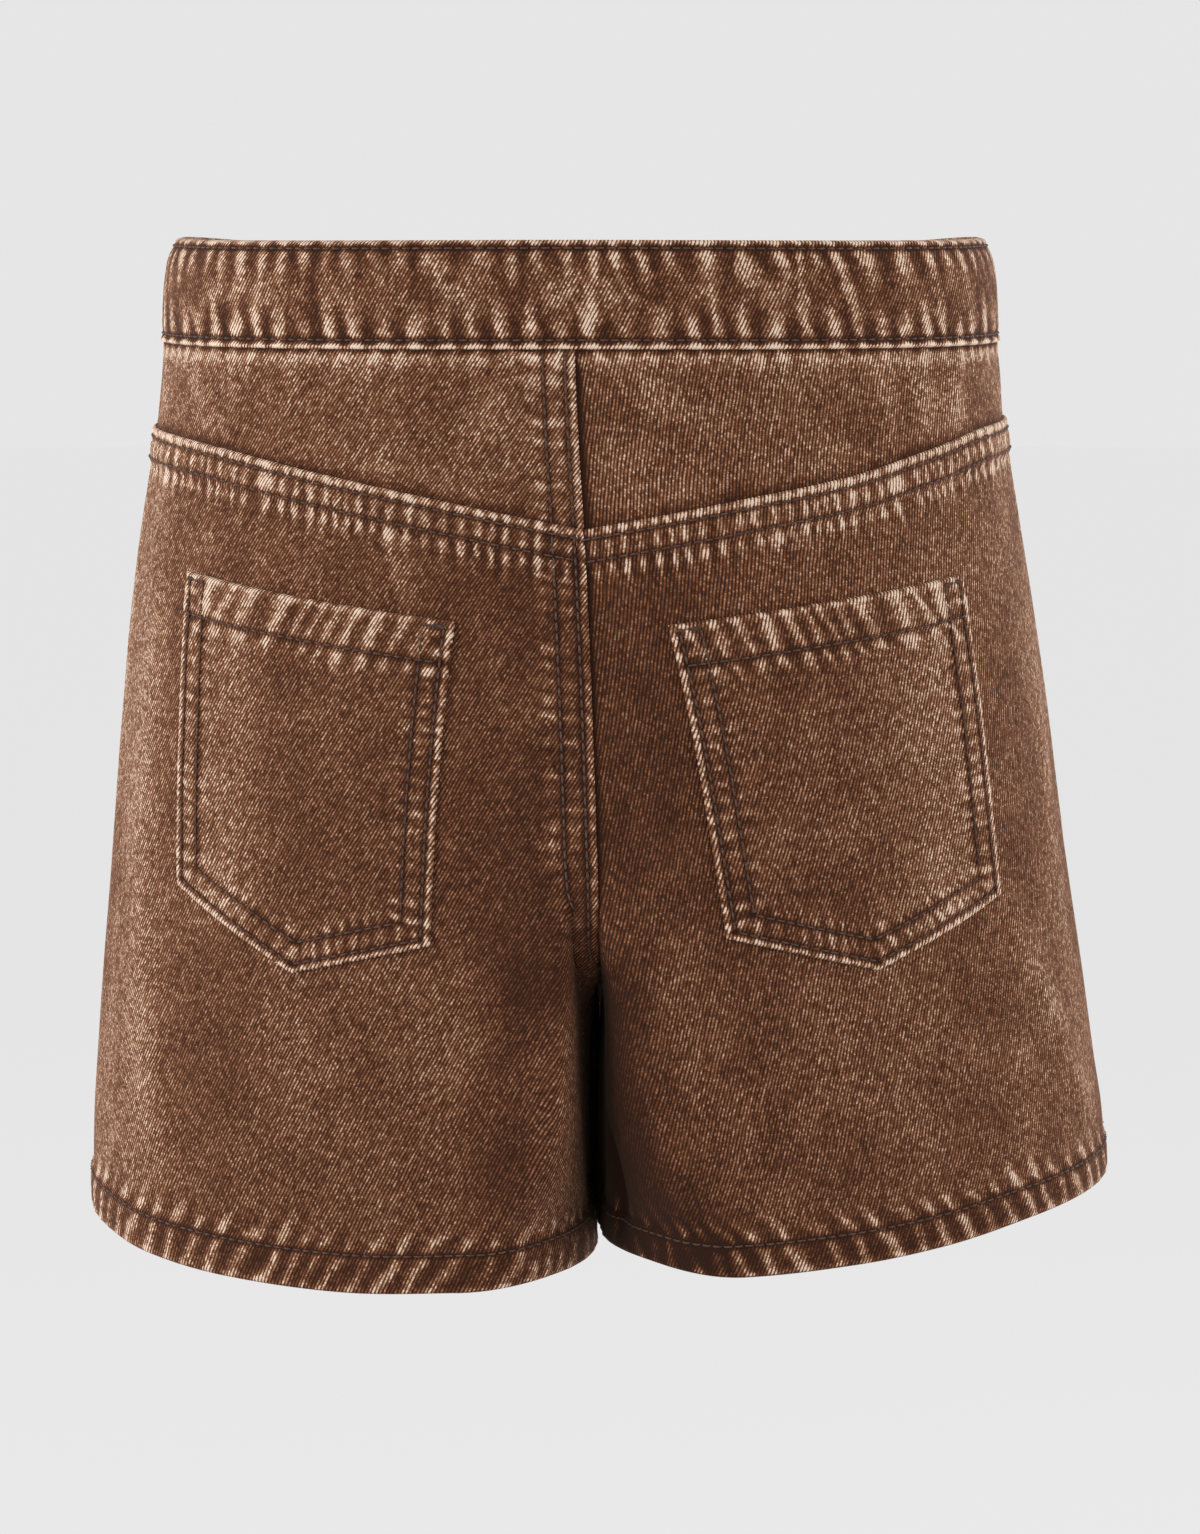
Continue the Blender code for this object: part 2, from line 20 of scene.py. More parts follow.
import bpy
import numpy as np
from bpy.types import ID, Material, Mesh, Node, NodeSocket, NodeTree, Object
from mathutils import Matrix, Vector


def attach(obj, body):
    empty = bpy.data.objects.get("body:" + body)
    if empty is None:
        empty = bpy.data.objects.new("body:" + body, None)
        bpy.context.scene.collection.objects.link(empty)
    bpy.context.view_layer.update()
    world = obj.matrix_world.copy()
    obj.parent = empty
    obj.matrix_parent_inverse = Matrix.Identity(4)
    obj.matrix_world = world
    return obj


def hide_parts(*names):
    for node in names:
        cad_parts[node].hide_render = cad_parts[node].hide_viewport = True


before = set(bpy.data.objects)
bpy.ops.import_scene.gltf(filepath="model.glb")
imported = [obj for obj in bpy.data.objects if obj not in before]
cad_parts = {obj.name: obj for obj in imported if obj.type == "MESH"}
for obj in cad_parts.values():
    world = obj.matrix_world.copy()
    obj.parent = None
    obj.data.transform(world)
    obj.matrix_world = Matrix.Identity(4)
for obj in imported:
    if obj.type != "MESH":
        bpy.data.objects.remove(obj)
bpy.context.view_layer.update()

LOG = logging.getLogger("denim_skort")
MM = 0.001

Array = np.ndarray

# Walls of the cloth
CLOTH = 1.4
FOLDED = 2.3
FELLED = 2.6

# Seams, as in the frame, but sewn shut: the frame leaves 0.4 between its solids
SEAM_GAP = 0.1
LAYER_GAP = 0.3
FELL_WIDTH = 11.0
SLOPE = 1.6
BAND_HEIGHT = 37.0
BAND_WALL = 3.2
BAND_INSET = 1.2
BAND_TOP_END = 0.58
BAND_UNDER_END = 0.88
SKIRT_EASE = 3.2
SKIRT_EDGE = 0.58
SKIRT_HEM_CENTRE = -341.0
BUTTON_PLACE = BAND_TOP_END + 0.09
BUTTON_SHANK = 0.9

# Middle of the waistband at the centre back, the side seams and the centre front
WAIST_BACK = 1.0
WAIST_SIDE = -0.6
WAIST_FRONT = -13.0

# Heights that the panels share
HIP_LEVEL = -145.0
CLEFT_TOP = -175.0
CROTCH = -247.5
INSEAM_TOP_Y = 4.6
INSEAM_HEM_Y = -4.0
HEM_LEVEL = -340.0

# Power of the body's section: 2 is an ellipse, and more is squarer
ROUNDNESS = 2.12

# Where the legs almost touch, and how far the gap between them bends sideways
TOUCH_LEFT = 3.2
TOUCH_RIGHT = 2.3
SWAY = 1.7

# Heights between which sections are worked out, and the step between two of them
SECTION_TOP = 30.0
SECTION_LOW = -352.0
SECTION_STEP = 1.25

# Points of a section round the body, and on the bend to a leg's inner side and down that side
ARC_POINTS = 241
BEND_POINTS = 37

# Width of the bend at the centre where the legs are not parted
CENTRE_CORNER = 26.0

# How far under the crotch the inner sides start to close, to meet in the centre seam
CLOSING = 3.0

# How far a panel's edge runs on under the folded edge that laps it
LAP = 3.0

# Lift of a folded edge over the panel that it laps: at the centre, and at the yoke, where it is fuller
LAP_LIFT = 1.4
YOKE_LAP_LIFT = 1.45

# Height at which the centre seam starts to turn in between the legs, and the depth that it takes
PARTING_TOP = CLEFT_TOP - 32.0
PARTING_DEPTH = 24.0

# How far the folded edge of a felled seam stands above the seam line
FOLD_RISE = 0.4

# Stitches of jeans thread
STITCH_PITCH = 3.7
STITCH_LENGTH = 3.3
THREAD_RADIUS = 0.42

# Values of a noise before it repeats, along a line and over a sheet
NOISE_CELLS = 512
SHEET_CELLS = 128

# Share of dye that is rubbed off the reverse of the cloth
REVERSE_WEAR = 0.5

# Distance between two twill lines of a 12 ounce denim, washed, measured across them
TWILL_PITCH = 1.17

# Length of one float of the warp, measured along the twill line
FLOAT_PITCH = 1.0


class Side(IntEnum):
    """Side of the wearer, which is also the sign of X there."""

    LEFT = 1
    RIGHT = -1


class Face(IntEnum):
    """Back or front of the wearer, which is also the sign of Y there."""

    BACK = 1
    FRONT = -1


class Layer(IntEnum):
    """Which side of the cloth shows, as the place of its finish among a piece's materials."""

    FACE = 0
    REVERSE = 1


class Slot(Enum):
    """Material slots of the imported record."""

    DENIM = "denim"
    BUTTON = "button"


class Level(NamedTuple):
    """Section of the body at one height. lean and seam are how far to the left its seams lie."""

    height: float
    half_width: float
    back: float
    front: float
    lean: float
    seam: float


class Cleft(NamedTuple):
    """Where the legs part, at one height.

    left_corner, right_corner and drop are the widths and the depth of the bend to a leg's inner side,
    back_end and front_end the place of the centre seams as a share of the body's depth, and left and right
    the distances of the inner sides from the middle plane.
    """

    height: float
    left_corner: float
    right_corner: float
    drop: float
    back_end: float
    front_end: float
    left: float
    right: float


LEVELS = (
    (24.0, 137.5, 100.6, 98.0, -0.5, 1.3),
    (16.0, 143.2, 101.4, 98.3, -0.5, 1.3),
    (8.0, 146.2, 102.0, 98.7, -0.5, 1.2),
    (-4.0, 147.5, 102.9, 99.3, -0.5, 1.1),
    (-20.0, 148.0, 104.2, 100.2, -0.5, 0.9),
    (-48.0, 150.6, 107.6, 101.8, -0.5, -0.3),
    (-80.0, 155.6, 112.4, 103.6, -0.5, -2.3),
    (-113.0, 160.4, 117.0, 105.6, -1.0, -3.9),
    (-145.0, 164.6, 119.6, 107.0, -1.9, -5.2),
    (-178.0, 168.7, 120.8, 108.2, -2.6, -6.3),
    (-212.0, 172.7, 121.2, 109.2, -3.7, -7.2),
    (-245.0, 176.8, 121.2, 110.0, -4.8, -7.5),
    (-278.0, 180.5, 120.6, 110.8, -5.9, -7.5),
    (-301.0, 183.0, 120.0, 111.2, -6.9, -7.5),
    (-323.0, 183.8, 119.6, 111.6, -7.2, -7.5),
    (-345.0, 183.2, 119.4, 112.0, -7.3, -7.5),
)

CLEFTS = (
    (-175.0, 26.0, 26.0, 0.0, 1.00, 1.00, 0.2, 0.2),
    (-198.0, 12.0, 20.0, 1.6, 0.988, 0.985, 8.0, 0.4),
    (-213.0, 7.0, 11.0, 6.0, 0.95, 0.94, 10.3, 1.0),
    (-223.0, 6.5, 9.0, 11.0, 0.90, 0.86, 10.0, 1.5),
    (-231.0, 6.5, 9.5, 15.0, 0.80, 0.73, 9.5, 2.0),
    (-237.0, 7.0, 10.5, 18.0, 0.66, 0.57, 9.0, 2.5),
    (-241.5, 7.5, 11.5, 19.0, 0.47, 0.37, 8.9, 2.8),
    (-245.0, 8.0, 12.0, 19.0, 0.25, 0.15, 8.8, 3.0),
    (-247.5, 8.0, 12.5, 19.0, 0.04, -0.04, 8.7, 3.1),
    (-262.0, 8.5, 15.0, 20.0, 0.03, -0.03, 8.6, 3.3),
    (-281.0, 11.0, 20.0, 26.0, 0.01, -0.01, 8.0, 3.4),
    (-303.0, 20.0, 28.0, 42.0, -0.01, 0.01, 7.0, 3.5),
    (-322.0, 36.0, 42.0, 58.0, -0.02, 0.02, 5.8, 3.4),
    (-333.0, 42.0, 46.0, 64.0, -0.025, 0.025, 3.4, 2.7),
    (-345.0, 48.0, 50.0, 70.0, -0.03, 0.03, 2.9, 2.6),
)

# Yoke seam: share of the way from the side seam to the centre back, then its height
YOKE_SEAM = {
    Side.LEFT: ((0.0, -49.3), (0.20, -50.7), (0.36, -53.6), (0.55, -60.0), (0.80, -69.7), (1.0, -78.3)),
    Side.RIGHT: ((0.0, -46.3), (0.20, -47.8), (0.40, -54.8), (0.55, -61.8), (0.75, -68.8), (1.0, -78.3)),
}

# Hems: share of the way from the side seam to the inseam, then the height of the edge
HEM_EDGE = {
    Side.LEFT: (
        (0.00, -332.5), (0.10, -334.6), (0.20, -338.8), (0.32, -341.8), (0.46, -343.1), (0.58, -341.0),
        (0.70, -338.5), (0.84, -339.2), (1.00, -343.0),
    ),
    Side.RIGHT: (
        (0.00, -319.5), (0.12, -321.2), (0.23, -324.2), (0.35, -329.8), (0.45, -333.3), (0.58, -335.6),
        (0.70, -332.8), (0.84, -334.2), (1.00, -339.5),
    ),
}

# Distance from the hem's edge to its stitch row. The right leg's hem turns in a little, so it looks narrower.
HEM_ROW = {Side.LEFT: 13.6, Side.RIGHT: 11.2}

# Pocket corners, as distance along the cloth from the side seam, then height
POCKET_CORNERS = {
    Side.LEFT: ((68.5, -96.3), (178.0, -109.2), (181.0, -220.0), (131.5, -232.0), (79.5, -205.5)),
    Side.RIGHT: ((76.0, -97.0), (192.0, -110.0), (189.5, -217.0), (137.0, -230.5), (81.0, -209.0)),
}


def through(table: tuple, at: float | Array) -> Array:
    """Reads every column of a table on a smooth curve that never overshoots.

    Args:
        table: Rows of numbers in order of their first column.
        at: One or more values of the first column.

    Returns:
        The columns at each value, along the last axis.
    """
    rows = np.array(table, dtype=float)
    if rows[0, 0] > rows[-1, 0]:
        rows = rows[::-1]
    keys = rows[:, 0]
    chords = np.diff(rows, axis=0) / np.diff(keys)[:, None]
    product = chords[:-1] * chords[1:]
    total = chords[:-1] + chords[1:]
    inner = np.where(product > 0, 2 * product / np.where(total == 0, 1, total), 0)
    slopes = np.vstack([chords[:1], inner, chords[-1:]])
    at = np.asarray(at, float)
    i = np.clip(np.searchsorted(keys, at) - 1, 0, len(keys) - 2)
    width = keys[i + 1] - keys[i]
    t = ((at - keys[i]) / width)[..., None]
    width = width[..., None]
    return (
        (2 * t**3 - 3 * t**2 + 1) * rows[i]
        + (t**3 - 2 * t**2 + t) * width * slopes[i]
        + (3 * t**2 - 2 * t**3) * rows[i + 1]
        + (t**3 - t**2) * width * slopes[i + 1]
    )


def smooth(t: float | Array) -> Array:
    """Goes from 0 to 1 with level ends."""
    t = np.clip(t, 0.0, 1.0)
    return t * t * (3 - 2 * t)


def bell(distance: float | Array, width: float | Array) -> Array:
    """Is 1 at no distance and falls to a third at the width."""
    return np.exp(-((distance / width) ** 2))


def lattice(seed: int, shape: tuple[int, ...]) -> Array:
    """Gives the same random numbers from 0 to 1 for the same seed."""
    return np.random.default_rng(seed).random(shape)


def wander(x: Array, seed: int) -> Array:
    """Smooth noise along a line.

    Args:
        x: Places, where 1 is the distance between two independent values.
        seed: Which noise.

    Returns:
        Values from 0 to 1.
    """
    values = lattice(seed, (NOISE_CELLS,))
    cell = np.floor(x).astype(int)
    t = smooth(x - cell)
    return values[cell % NOISE_CELLS] * (1 - t) + values[(cell + 1) % NOISE_CELLS] * t


def patches(x: Array, y: Array, seed: int) -> Array:
    """Smooth noise over a sheet, two octaves of it.

    Args:
        x: Places across, where 1 is the size of a patch.
        y: Places up.
        seed: Which noise.

    Returns:
        Values from 0 to 1.
    """
    found = np.zeros(np.broadcast(x, y).shape)
    for octave, weight in ((1, 0.65), (2.3, 0.35)):
        values = lattice(seed + int(octave * 10), (SHEET_CELLS, SHEET_CELLS))
        across, up = x * octave, y * octave
        i, j = np.floor(across).astype(int), np.floor(up).astype(int)
        s, t = smooth(across - i), smooth(up - j)
        i, j, right, above = (cell % SHEET_CELLS for cell in (i, j, i + 1, j + 1))
        low = values[i, j] * (1 - s) + values[right, j] * s
        high = values[i, above] * (1 - s) + values[right, above] * s
        found = found + weight * (low * (1 - t) + high * t)
    return found


def roll(distance: Array, radius: float) -> Array:
    """Rises from 0 to 1 on a quarter circle, as a folded edge does."""
    t = np.clip(distance / radius, 0, 1)
    return np.sqrt(np.clip(1 - (1 - t) ** 2, 0, 1))


def fine(start: float, end: float, step: float) -> Array:
    """Even values from start to end, both included, about a step apart."""
    return np.linspace(start, end, max(int(round(abs(end - start) / step)), 1) + 1)


def near_edge(depth: float) -> Array:
    """Distances from a folded edge into the cloth: close together where it rolls, then further apart."""
    return np.concatenate([[0.0, 0.3, 0.7, 1.2, 1.8], fine(2.5, depth, 0.85)])


def lapping(distance: Array) -> Array:
    """Is 1 at a folded edge that laps another panel, and falls to 0 where the two lie flat."""
    return 1 - smooth((distance - LAP - 1.0) / 2.0)


def above_parting(height: Array) -> Array:
    """Is 1 above the parting of the legs and falls to 0 where the centre seam has turned in."""
    return 1 - smooth((PARTING_TOP - height) / PARTING_DEPTH)


@dataclass
class Surface:
    """A panel's cloth at a grid of places, or along a line of them.

    Attributes:
        base: Points on the inside of the cloth.
        out: Directions out of it.
        outer: How far its face lies from the inside.
        inner: How far its reverse lies from the inside.
        wear: Share of dye that is rubbed off, less the painted shade in places.
        grain: Distances to the viewer's right and up, in the cloth.
    """

    base: Array
    out: Array
    outer: Array
    inner: Array
    wear: Array
    grain: Array

    @property
    def face_points(self) -> Array:
        """Points on the face of the cloth."""
        return self.base + self.out * self.outer[..., None]

    @classmethod
    def joined(cls, parts: "list[Surface]") -> "Surface":
        """Joins cloths side by side.

        Args:
            parts: Cloths with the same rows.

        Returns:
            One cloth, with their columns one after another.
        """
        names = [item.name for item in fields(cls)]
        axis = parts[0].outer.ndim - 1
        return cls(*(np.concatenate([getattr(part, name) for part in parts], axis=axis) for name in names))


@dataclass
class Quarter:
    """A quarter of the garment, from a side seam to the centre seam or, on a leg, to the inseam.

    Attributes:
        side: Side of the wearer.
        face: Back or front.
        inset_side: How far inside the body's section it lies at the side.
        inset_centre: The same at the centre.
        legs: Whether the section dips in between the legs.
    """

    side: Side
    face: Face
    inset_side: float = 0.0
    inset_centre: float = 0.0
    legs: bool = True

    def __post_init__(self) -> None:
        """Works out the sections at all heights."""
        self.heights = np.arange(SECTION_TOP, SECTION_LOW, -SECTION_STEP)
        self.sections = [self.section(height) for height in self.heights]
        self.totals = np.array([lengths[-1] for _, lengths, _ in self.sections])
        self.marks = np.array([marks for _, _, marks in self.sections])

    def section(self, height: float) -> tuple[Array, Array, tuple[float, float]]:
        """Works out the section at a height.

        Args:
            height: Height above the middle of the waist.

        Returns:
            Its points, the distance along the cloth to each, and the distances at which the bend to a
            leg's inner side starts and ends.
        """
        level = Level(*through(LEVELS, height))
        half_width = level.half_width - self.inset_side
        depth = (level.back if self.face == Face.BACK else level.front) - self.inset_centre
        inner, corner, drop, end = SEAM_GAP / 2, CENTRE_CORNER, 0.0, depth
        parted = self.legs and height < CLEFT_TOP
        if parted:
            cleft = Cleft(*through(CLEFTS, height))
            inner = cleft.left if self.side == Side.LEFT else cleft.right
            corner = cleft.left_corner if self.side == Side.LEFT else cleft.right_corner
            end = depth * (cleft.back_end if self.face == Face.BACK else cleft.front_end)
            if height <= CROTCH:
                down = (height - CROTCH) / (HEM_LEVEL - CROTCH)
                end = self.face * (INSEAM_TOP_Y + (INSEAM_HEM_Y - INSEAM_TOP_Y) * down) + SEAM_GAP / 2
            drop = cleft.drop
        touch = TOUCH_LEFT if self.side == Side.LEFT else TOUCH_RIGHT
        touch = SEAM_GAP / 2 + (touch - SEAM_GAP / 2) * smooth((CLEFT_TOP - height) / 90)
        start = inner + corner
        turn = np.linspace(0, 1, ARC_POINTS) * np.arccos((start / half_width) ** (ROUNDNESS / 2))
        across = half_width * np.cos(turn) ** (2 / ROUNDNESS)
        deep = depth * np.sin(turn) ** (2 / ROUNDNESS)
        drop = min(drop, deep[-1] - end) if parted else 0.0
        bend = np.linspace(0, np.pi / 2, BEND_POINTS)[1:]
        round_x = inner + corner * (1 - np.sin(bend))
        straight = np.linspace(0, 1, BEND_POINTS)[1:]
        side_x = inner + (touch - inner) * smooth(straight * 1.6)
        if drop > 0:
            round_y = deep[-1] - drop * (1 - np.cos(bend))
            side_y = round_y[-1] + (end - round_y[-1]) * straight
            bow = SWAY * np.clip(self.face * side_y / 30, -1, 1) * smooth((CROTCH - height) / 25)
            side_x = side_x + self.side * bow * smooth(straight * 1.6)
        else:
            side_x = side_x[:0] if inner <= touch else side_x
            round_y = depth * (1 - (round_x / half_width) ** ROUNDNESS) ** (1 / ROUNDNESS)
            side_y = depth * (1 - (side_x / half_width) ** ROUNDNESS) ** (1 / ROUNDNESS)
        x = np.concatenate([across, round_x, side_x])
        y = np.concatenate([deep, round_y, side_y])
        if parted and height > CROTCH - CLOSING and x[-1] > SEAM_GAP / 2:
            closed = smooth((height - CROTCH + CLOSING) / CLOSING) * straight[::3]
            x = np.concatenate([x, x[-1] + (SEAM_GAP / 2 - x[-1]) * closed])
            y = np.concatenate([y, np.full_like(closed, y[-1])])
        shift = level.seam + (level.lean - level.seam) * x / half_width
        points = np.stack([shift + self.side * x, self.face * y], axis=1)
        lengths = np.concatenate([[0], np.cumsum(np.hypot(*np.diff(points, axis=0).T))])
        return points, lengths, (lengths[ARC_POINTS - 1], lengths[ARC_POINTS + BEND_POINTS - 2])

    def length(self, height: float | Array) -> Array:
        """Distance along the cloth from the side seam to the centre, at each height."""
        return np.interp(-np.asarray(height, float), -self.heights, self.totals)

    def bend(self, height: float | Array) -> tuple[Array, Array]:
        """Finds where the bend to a leg's inner side starts and ends.

        Args:
            height: Heights.

        Returns:
            Distances along the cloth of its start and of its end.
        """
        at = -np.asarray(height, float)
        start, end = (np.interp(at, -self.heights, marks) for marks in self.marks.T)
        return start, end

    def place(self, height: float | Array, along: float | Array) -> Array:
        """Finds points on the inside of the cloth.

        Args:
            height: Heights.
            along: Distances from the side seam. Past an end the cloth runs on straight.

        Returns:
            Points in mm, along the last axis.
        """
        height, along = np.broadcast_arrays(np.asarray(height, float), np.asarray(along, float))
        level = np.clip((SECTION_TOP - height) / SECTION_STEP, 0, len(self.sections) - 1.001)
        above = level.astype(int)
        share = level - above
        found = np.zeros(height.shape + (2,))
        for step in (0, 1):
            weight = share if step else 1 - share
            for index in np.unique(above + step):
                chosen = above + step == index
                points, lengths, _ = self.sections[index]
                at = along[chosen]
                inside = np.clip(at, 0, lengths[-1])
                past = at - inside
                for axis in (0, 1):
                    line = points[:, axis]
                    near, far = np.interp((1.0, lengths[-1] - 1.0), lengths, line)
                    slope = np.where(past < 0, near - line[0], line[-1] - far)
                    value = np.interp(inside, lengths, line) + slope * past
                    found[chosen, axis] += weight[chosen] * value
        return np.concatenate([found, height[..., None]], axis=-1)

    def outward(self, height: float | Array, along: float | Array) -> Array:
        """Finds the directions out of the cloth.

        Args:
            height: Heights.
            along: Distances from the side seam.

        Returns:
            Unit vectors, along the last axis.
        """
        height, along = np.broadcast_arrays(np.asarray(height, float), np.asarray(along, float))
        reach = np.clip(along, 1.0, self.length(height) - 1.0)
        run = self.place(height, reach + 1.0) - self.place(height, reach - 1.0)
        fall = self.place(height - 1.0, reach) - self.place(height + 1.0, reach)
        out = np.cross(fall, run) * (self.side * self.face)
        return out / np.linalg.norm(out, axis=-1, keepdims=True)

    def cloth(
        self, height: Array, along: Array, outer: Array, inner: Array, wear: Array, middle: float = 0.0
    ) -> Surface:
        """Lays cloth on the form.

        Args:
            height: Heights.
            along: Distances from the side seam.
            outer: How far its face lies from the inside.
            inner: How far its reverse lies from the inside.
            wear: Share of dye that is rubbed off, less the painted shade in places.
            middle: Distance to the viewer's right at which the twill of its side seam starts.

        Returns:
            The cloth there.
        """
        grain = np.stack(np.broadcast_arrays(middle + self.side * self.face * along, height), axis=-1)
        return Surface(self.place(height, along), self.outward(height, along), outer, inner, wear, grain)


def waist_height(face: Face, share: float | Array) -> Array:
    """Middle of the waistband, from a side seam (share 0) to the centre back or front (share 1)."""
    centre = WAIST_BACK if face == Face.BACK else WAIST_FRONT
    return WAIST_SIDE + (centre - WAIST_SIDE) * smooth(share)


def band_edge(face: Face, share: float | Array) -> Array:
    """Lower edge of the waistband."""
    return waist_height(face, share) - BAND_HEIGHT / 2


@dataclass(frozen=True)
class Seam:
    """A folded or sewn edge and what it does to the cloth beside it.

    Distances run in mm from the edge into the panel. Wear is the share of dye that is rubbed off.

    Attributes:
        rows: Distances of its stitch rows.
        wall: Thickness of the folded layers.
        depth: How far the folded layers reach.
        pitch: Distance between two puckers.
        pucker: Height of a pucker.
        lean: How far sideways a pucker runs for each mm into the panel.
        reach: How far the puckers go on past the folded layers.
        streak: Wear of a pucker.
        sharp: How narrow the puckers are.
        plateau: Wear of the folded layers.
        rim: Wear of the fold.
        rim_width: Distance of the middle of the worn fold from the edge.
        fringe: Wear of the line just past the folded layers.
        groove: How much darker the cloth is under a stitch row.
        seed: Which noise.
    """

    rows: tuple[float, ...] = ()
    wall: float = CLOTH
    depth: float = 0.0
    pitch: float = 10.0
    pucker: float = 0.5
    lean: float = 0.0
    reach: float = 6.0
    streak: float = 0.4
    sharp: float = 1.9
    plateau: float = 0.0
    rim: float = 0.5
    rim_width: float = 1.3
    fringe: float = 0.2
    groove: float = 0.3
    seed: int = 1

    def thickness(self, distance: Array) -> Array:
        """Wall of the cloth at distances from the edge."""
        return self.wall + (CLOTH - self.wall) * smooth((distance - self.depth) / SLOPE)

    def waves(self, run: Array, distance: Array) -> tuple[Array, Array]:
        """Finds how high the puckers stand and how far in they reach.

        Args:
            run: Distances along the edge.
            distance: Distances from it.

        Returns:
            Values from 0 in a trough to 1 on the highest pucker, and the reach of the nearest pucker.
        """
        at = (run + self.lean * distance) / self.pitch
        at = at + 1.1 * wander(at / 3.1, self.seed) + 0.35 * wander(at * 1.3 + distance / 9, self.seed + 1)
        nearest = np.round(at).astype(int) % NOISE_CELLS
        strength = 0.5 + 0.5 * lattice(self.seed + 2, (NOISE_CELLS,))[nearest]
        reach = self.reach * (0.7 + 1.1 * lattice(self.seed + 3, (NOISE_CELLS,))[nearest])
        return strength * (0.5 + 0.5 * np.cos(2 * np.pi * at)) ** self.sharp, reach

    def press(self, run: Array, distance: Array) -> tuple[Array, Array]:
        """Finds how the seam shapes and wears the cloth beside it.

        Args:
            run: Distances along the edge.
            distance: Distances from it.

        Returns:
            Relief in mm and change of wear.
        """
        waves, reach = self.waves(run, distance)
        held = sum((bell(distance - row, 1.5) for row in self.rows), np.zeros_like(waves))
        depth = self.depth + SLOPE
        fades = bell(np.maximum(distance - depth, 0), reach)
        fades = fades * (1 - 0.75 * np.clip(held, 0, 1)) * smooth(distance / 1.6 + 0.3)
        relief = self.pucker * fades * (waves - 0.25) - 0.35 * np.clip(held, 0, 1)
        wear = self.streak * fades * (waves - 0.25)
        wear = wear + self.plateau * (1 - smooth((distance - self.depth) / SLOPE))
        wear = wear + self.rim * bell(distance - self.rim_width, self.rim_width * 0.8) * (0.7 + 0.6 * waves)
        wear = wear + self.fringe * bell(distance - depth - 1.6, 1.9) * (0.45 + 1.1 * waves)
        for row in self.rows:
            wear = wear - self.groove * bell(distance - row, 1.05)
        return relief, wear


@dataclass(frozen=True)
class Crease:
    """A soft ridge, or a trough where its rise is negative, from one place on a panel to another.

    Attributes:
        start: Distance along the cloth from the side seam, and height, of its first end.
        end: The same of its other end.
        width: Half its width.
        rise: Its height.
        wear: How much more its top is rubbed off; where negative, how much shade is painted into its trough.
    """

    start: tuple[float, float]
    end: tuple[float, float]
    width: float
    rise: float
    wear: float = 0.0

    def profile(self, along: Array, height: Array) -> Array:
        """Finds how much of the crease reaches each place.

        Args:
            along: Distances along the cloth.
            height: Heights.

        Returns:
            Values from 0 to 1.
        """
        run = np.subtract(self.end, self.start)
        share = ((along - self.start[0]) * run[0] + (height - self.start[1]) * run[1]) / (run @ run)
        held = np.clip(share, 0, 1)
        off = np.hypot(along - self.start[0] - held * run[0], height - self.start[1] - held * run[1])
        return bell(off, self.width) * (0.3 + 0.7 * np.sin(np.pi * np.clip(held, 0.02, 0.98)))


def folds(creases: tuple[Crease, ...], along: Array, height: Array) -> tuple[Array, Array]:
    """Adds up creases.

    Args:
        creases: The creases.
        along: Distances along the cloth.
        height: Heights.

    Returns:
        How far they move the cloth out, and how far they rub off the dye or, in a trough, paint shade in.
    """
    fold, wear = np.zeros_like(along), np.zeros_like(along)
    for crease in creases:
        profile = crease.profile(along, height)
        fold = fold + crease.rise * profile
        wear = wear + crease.wear * profile
    return fold, wear


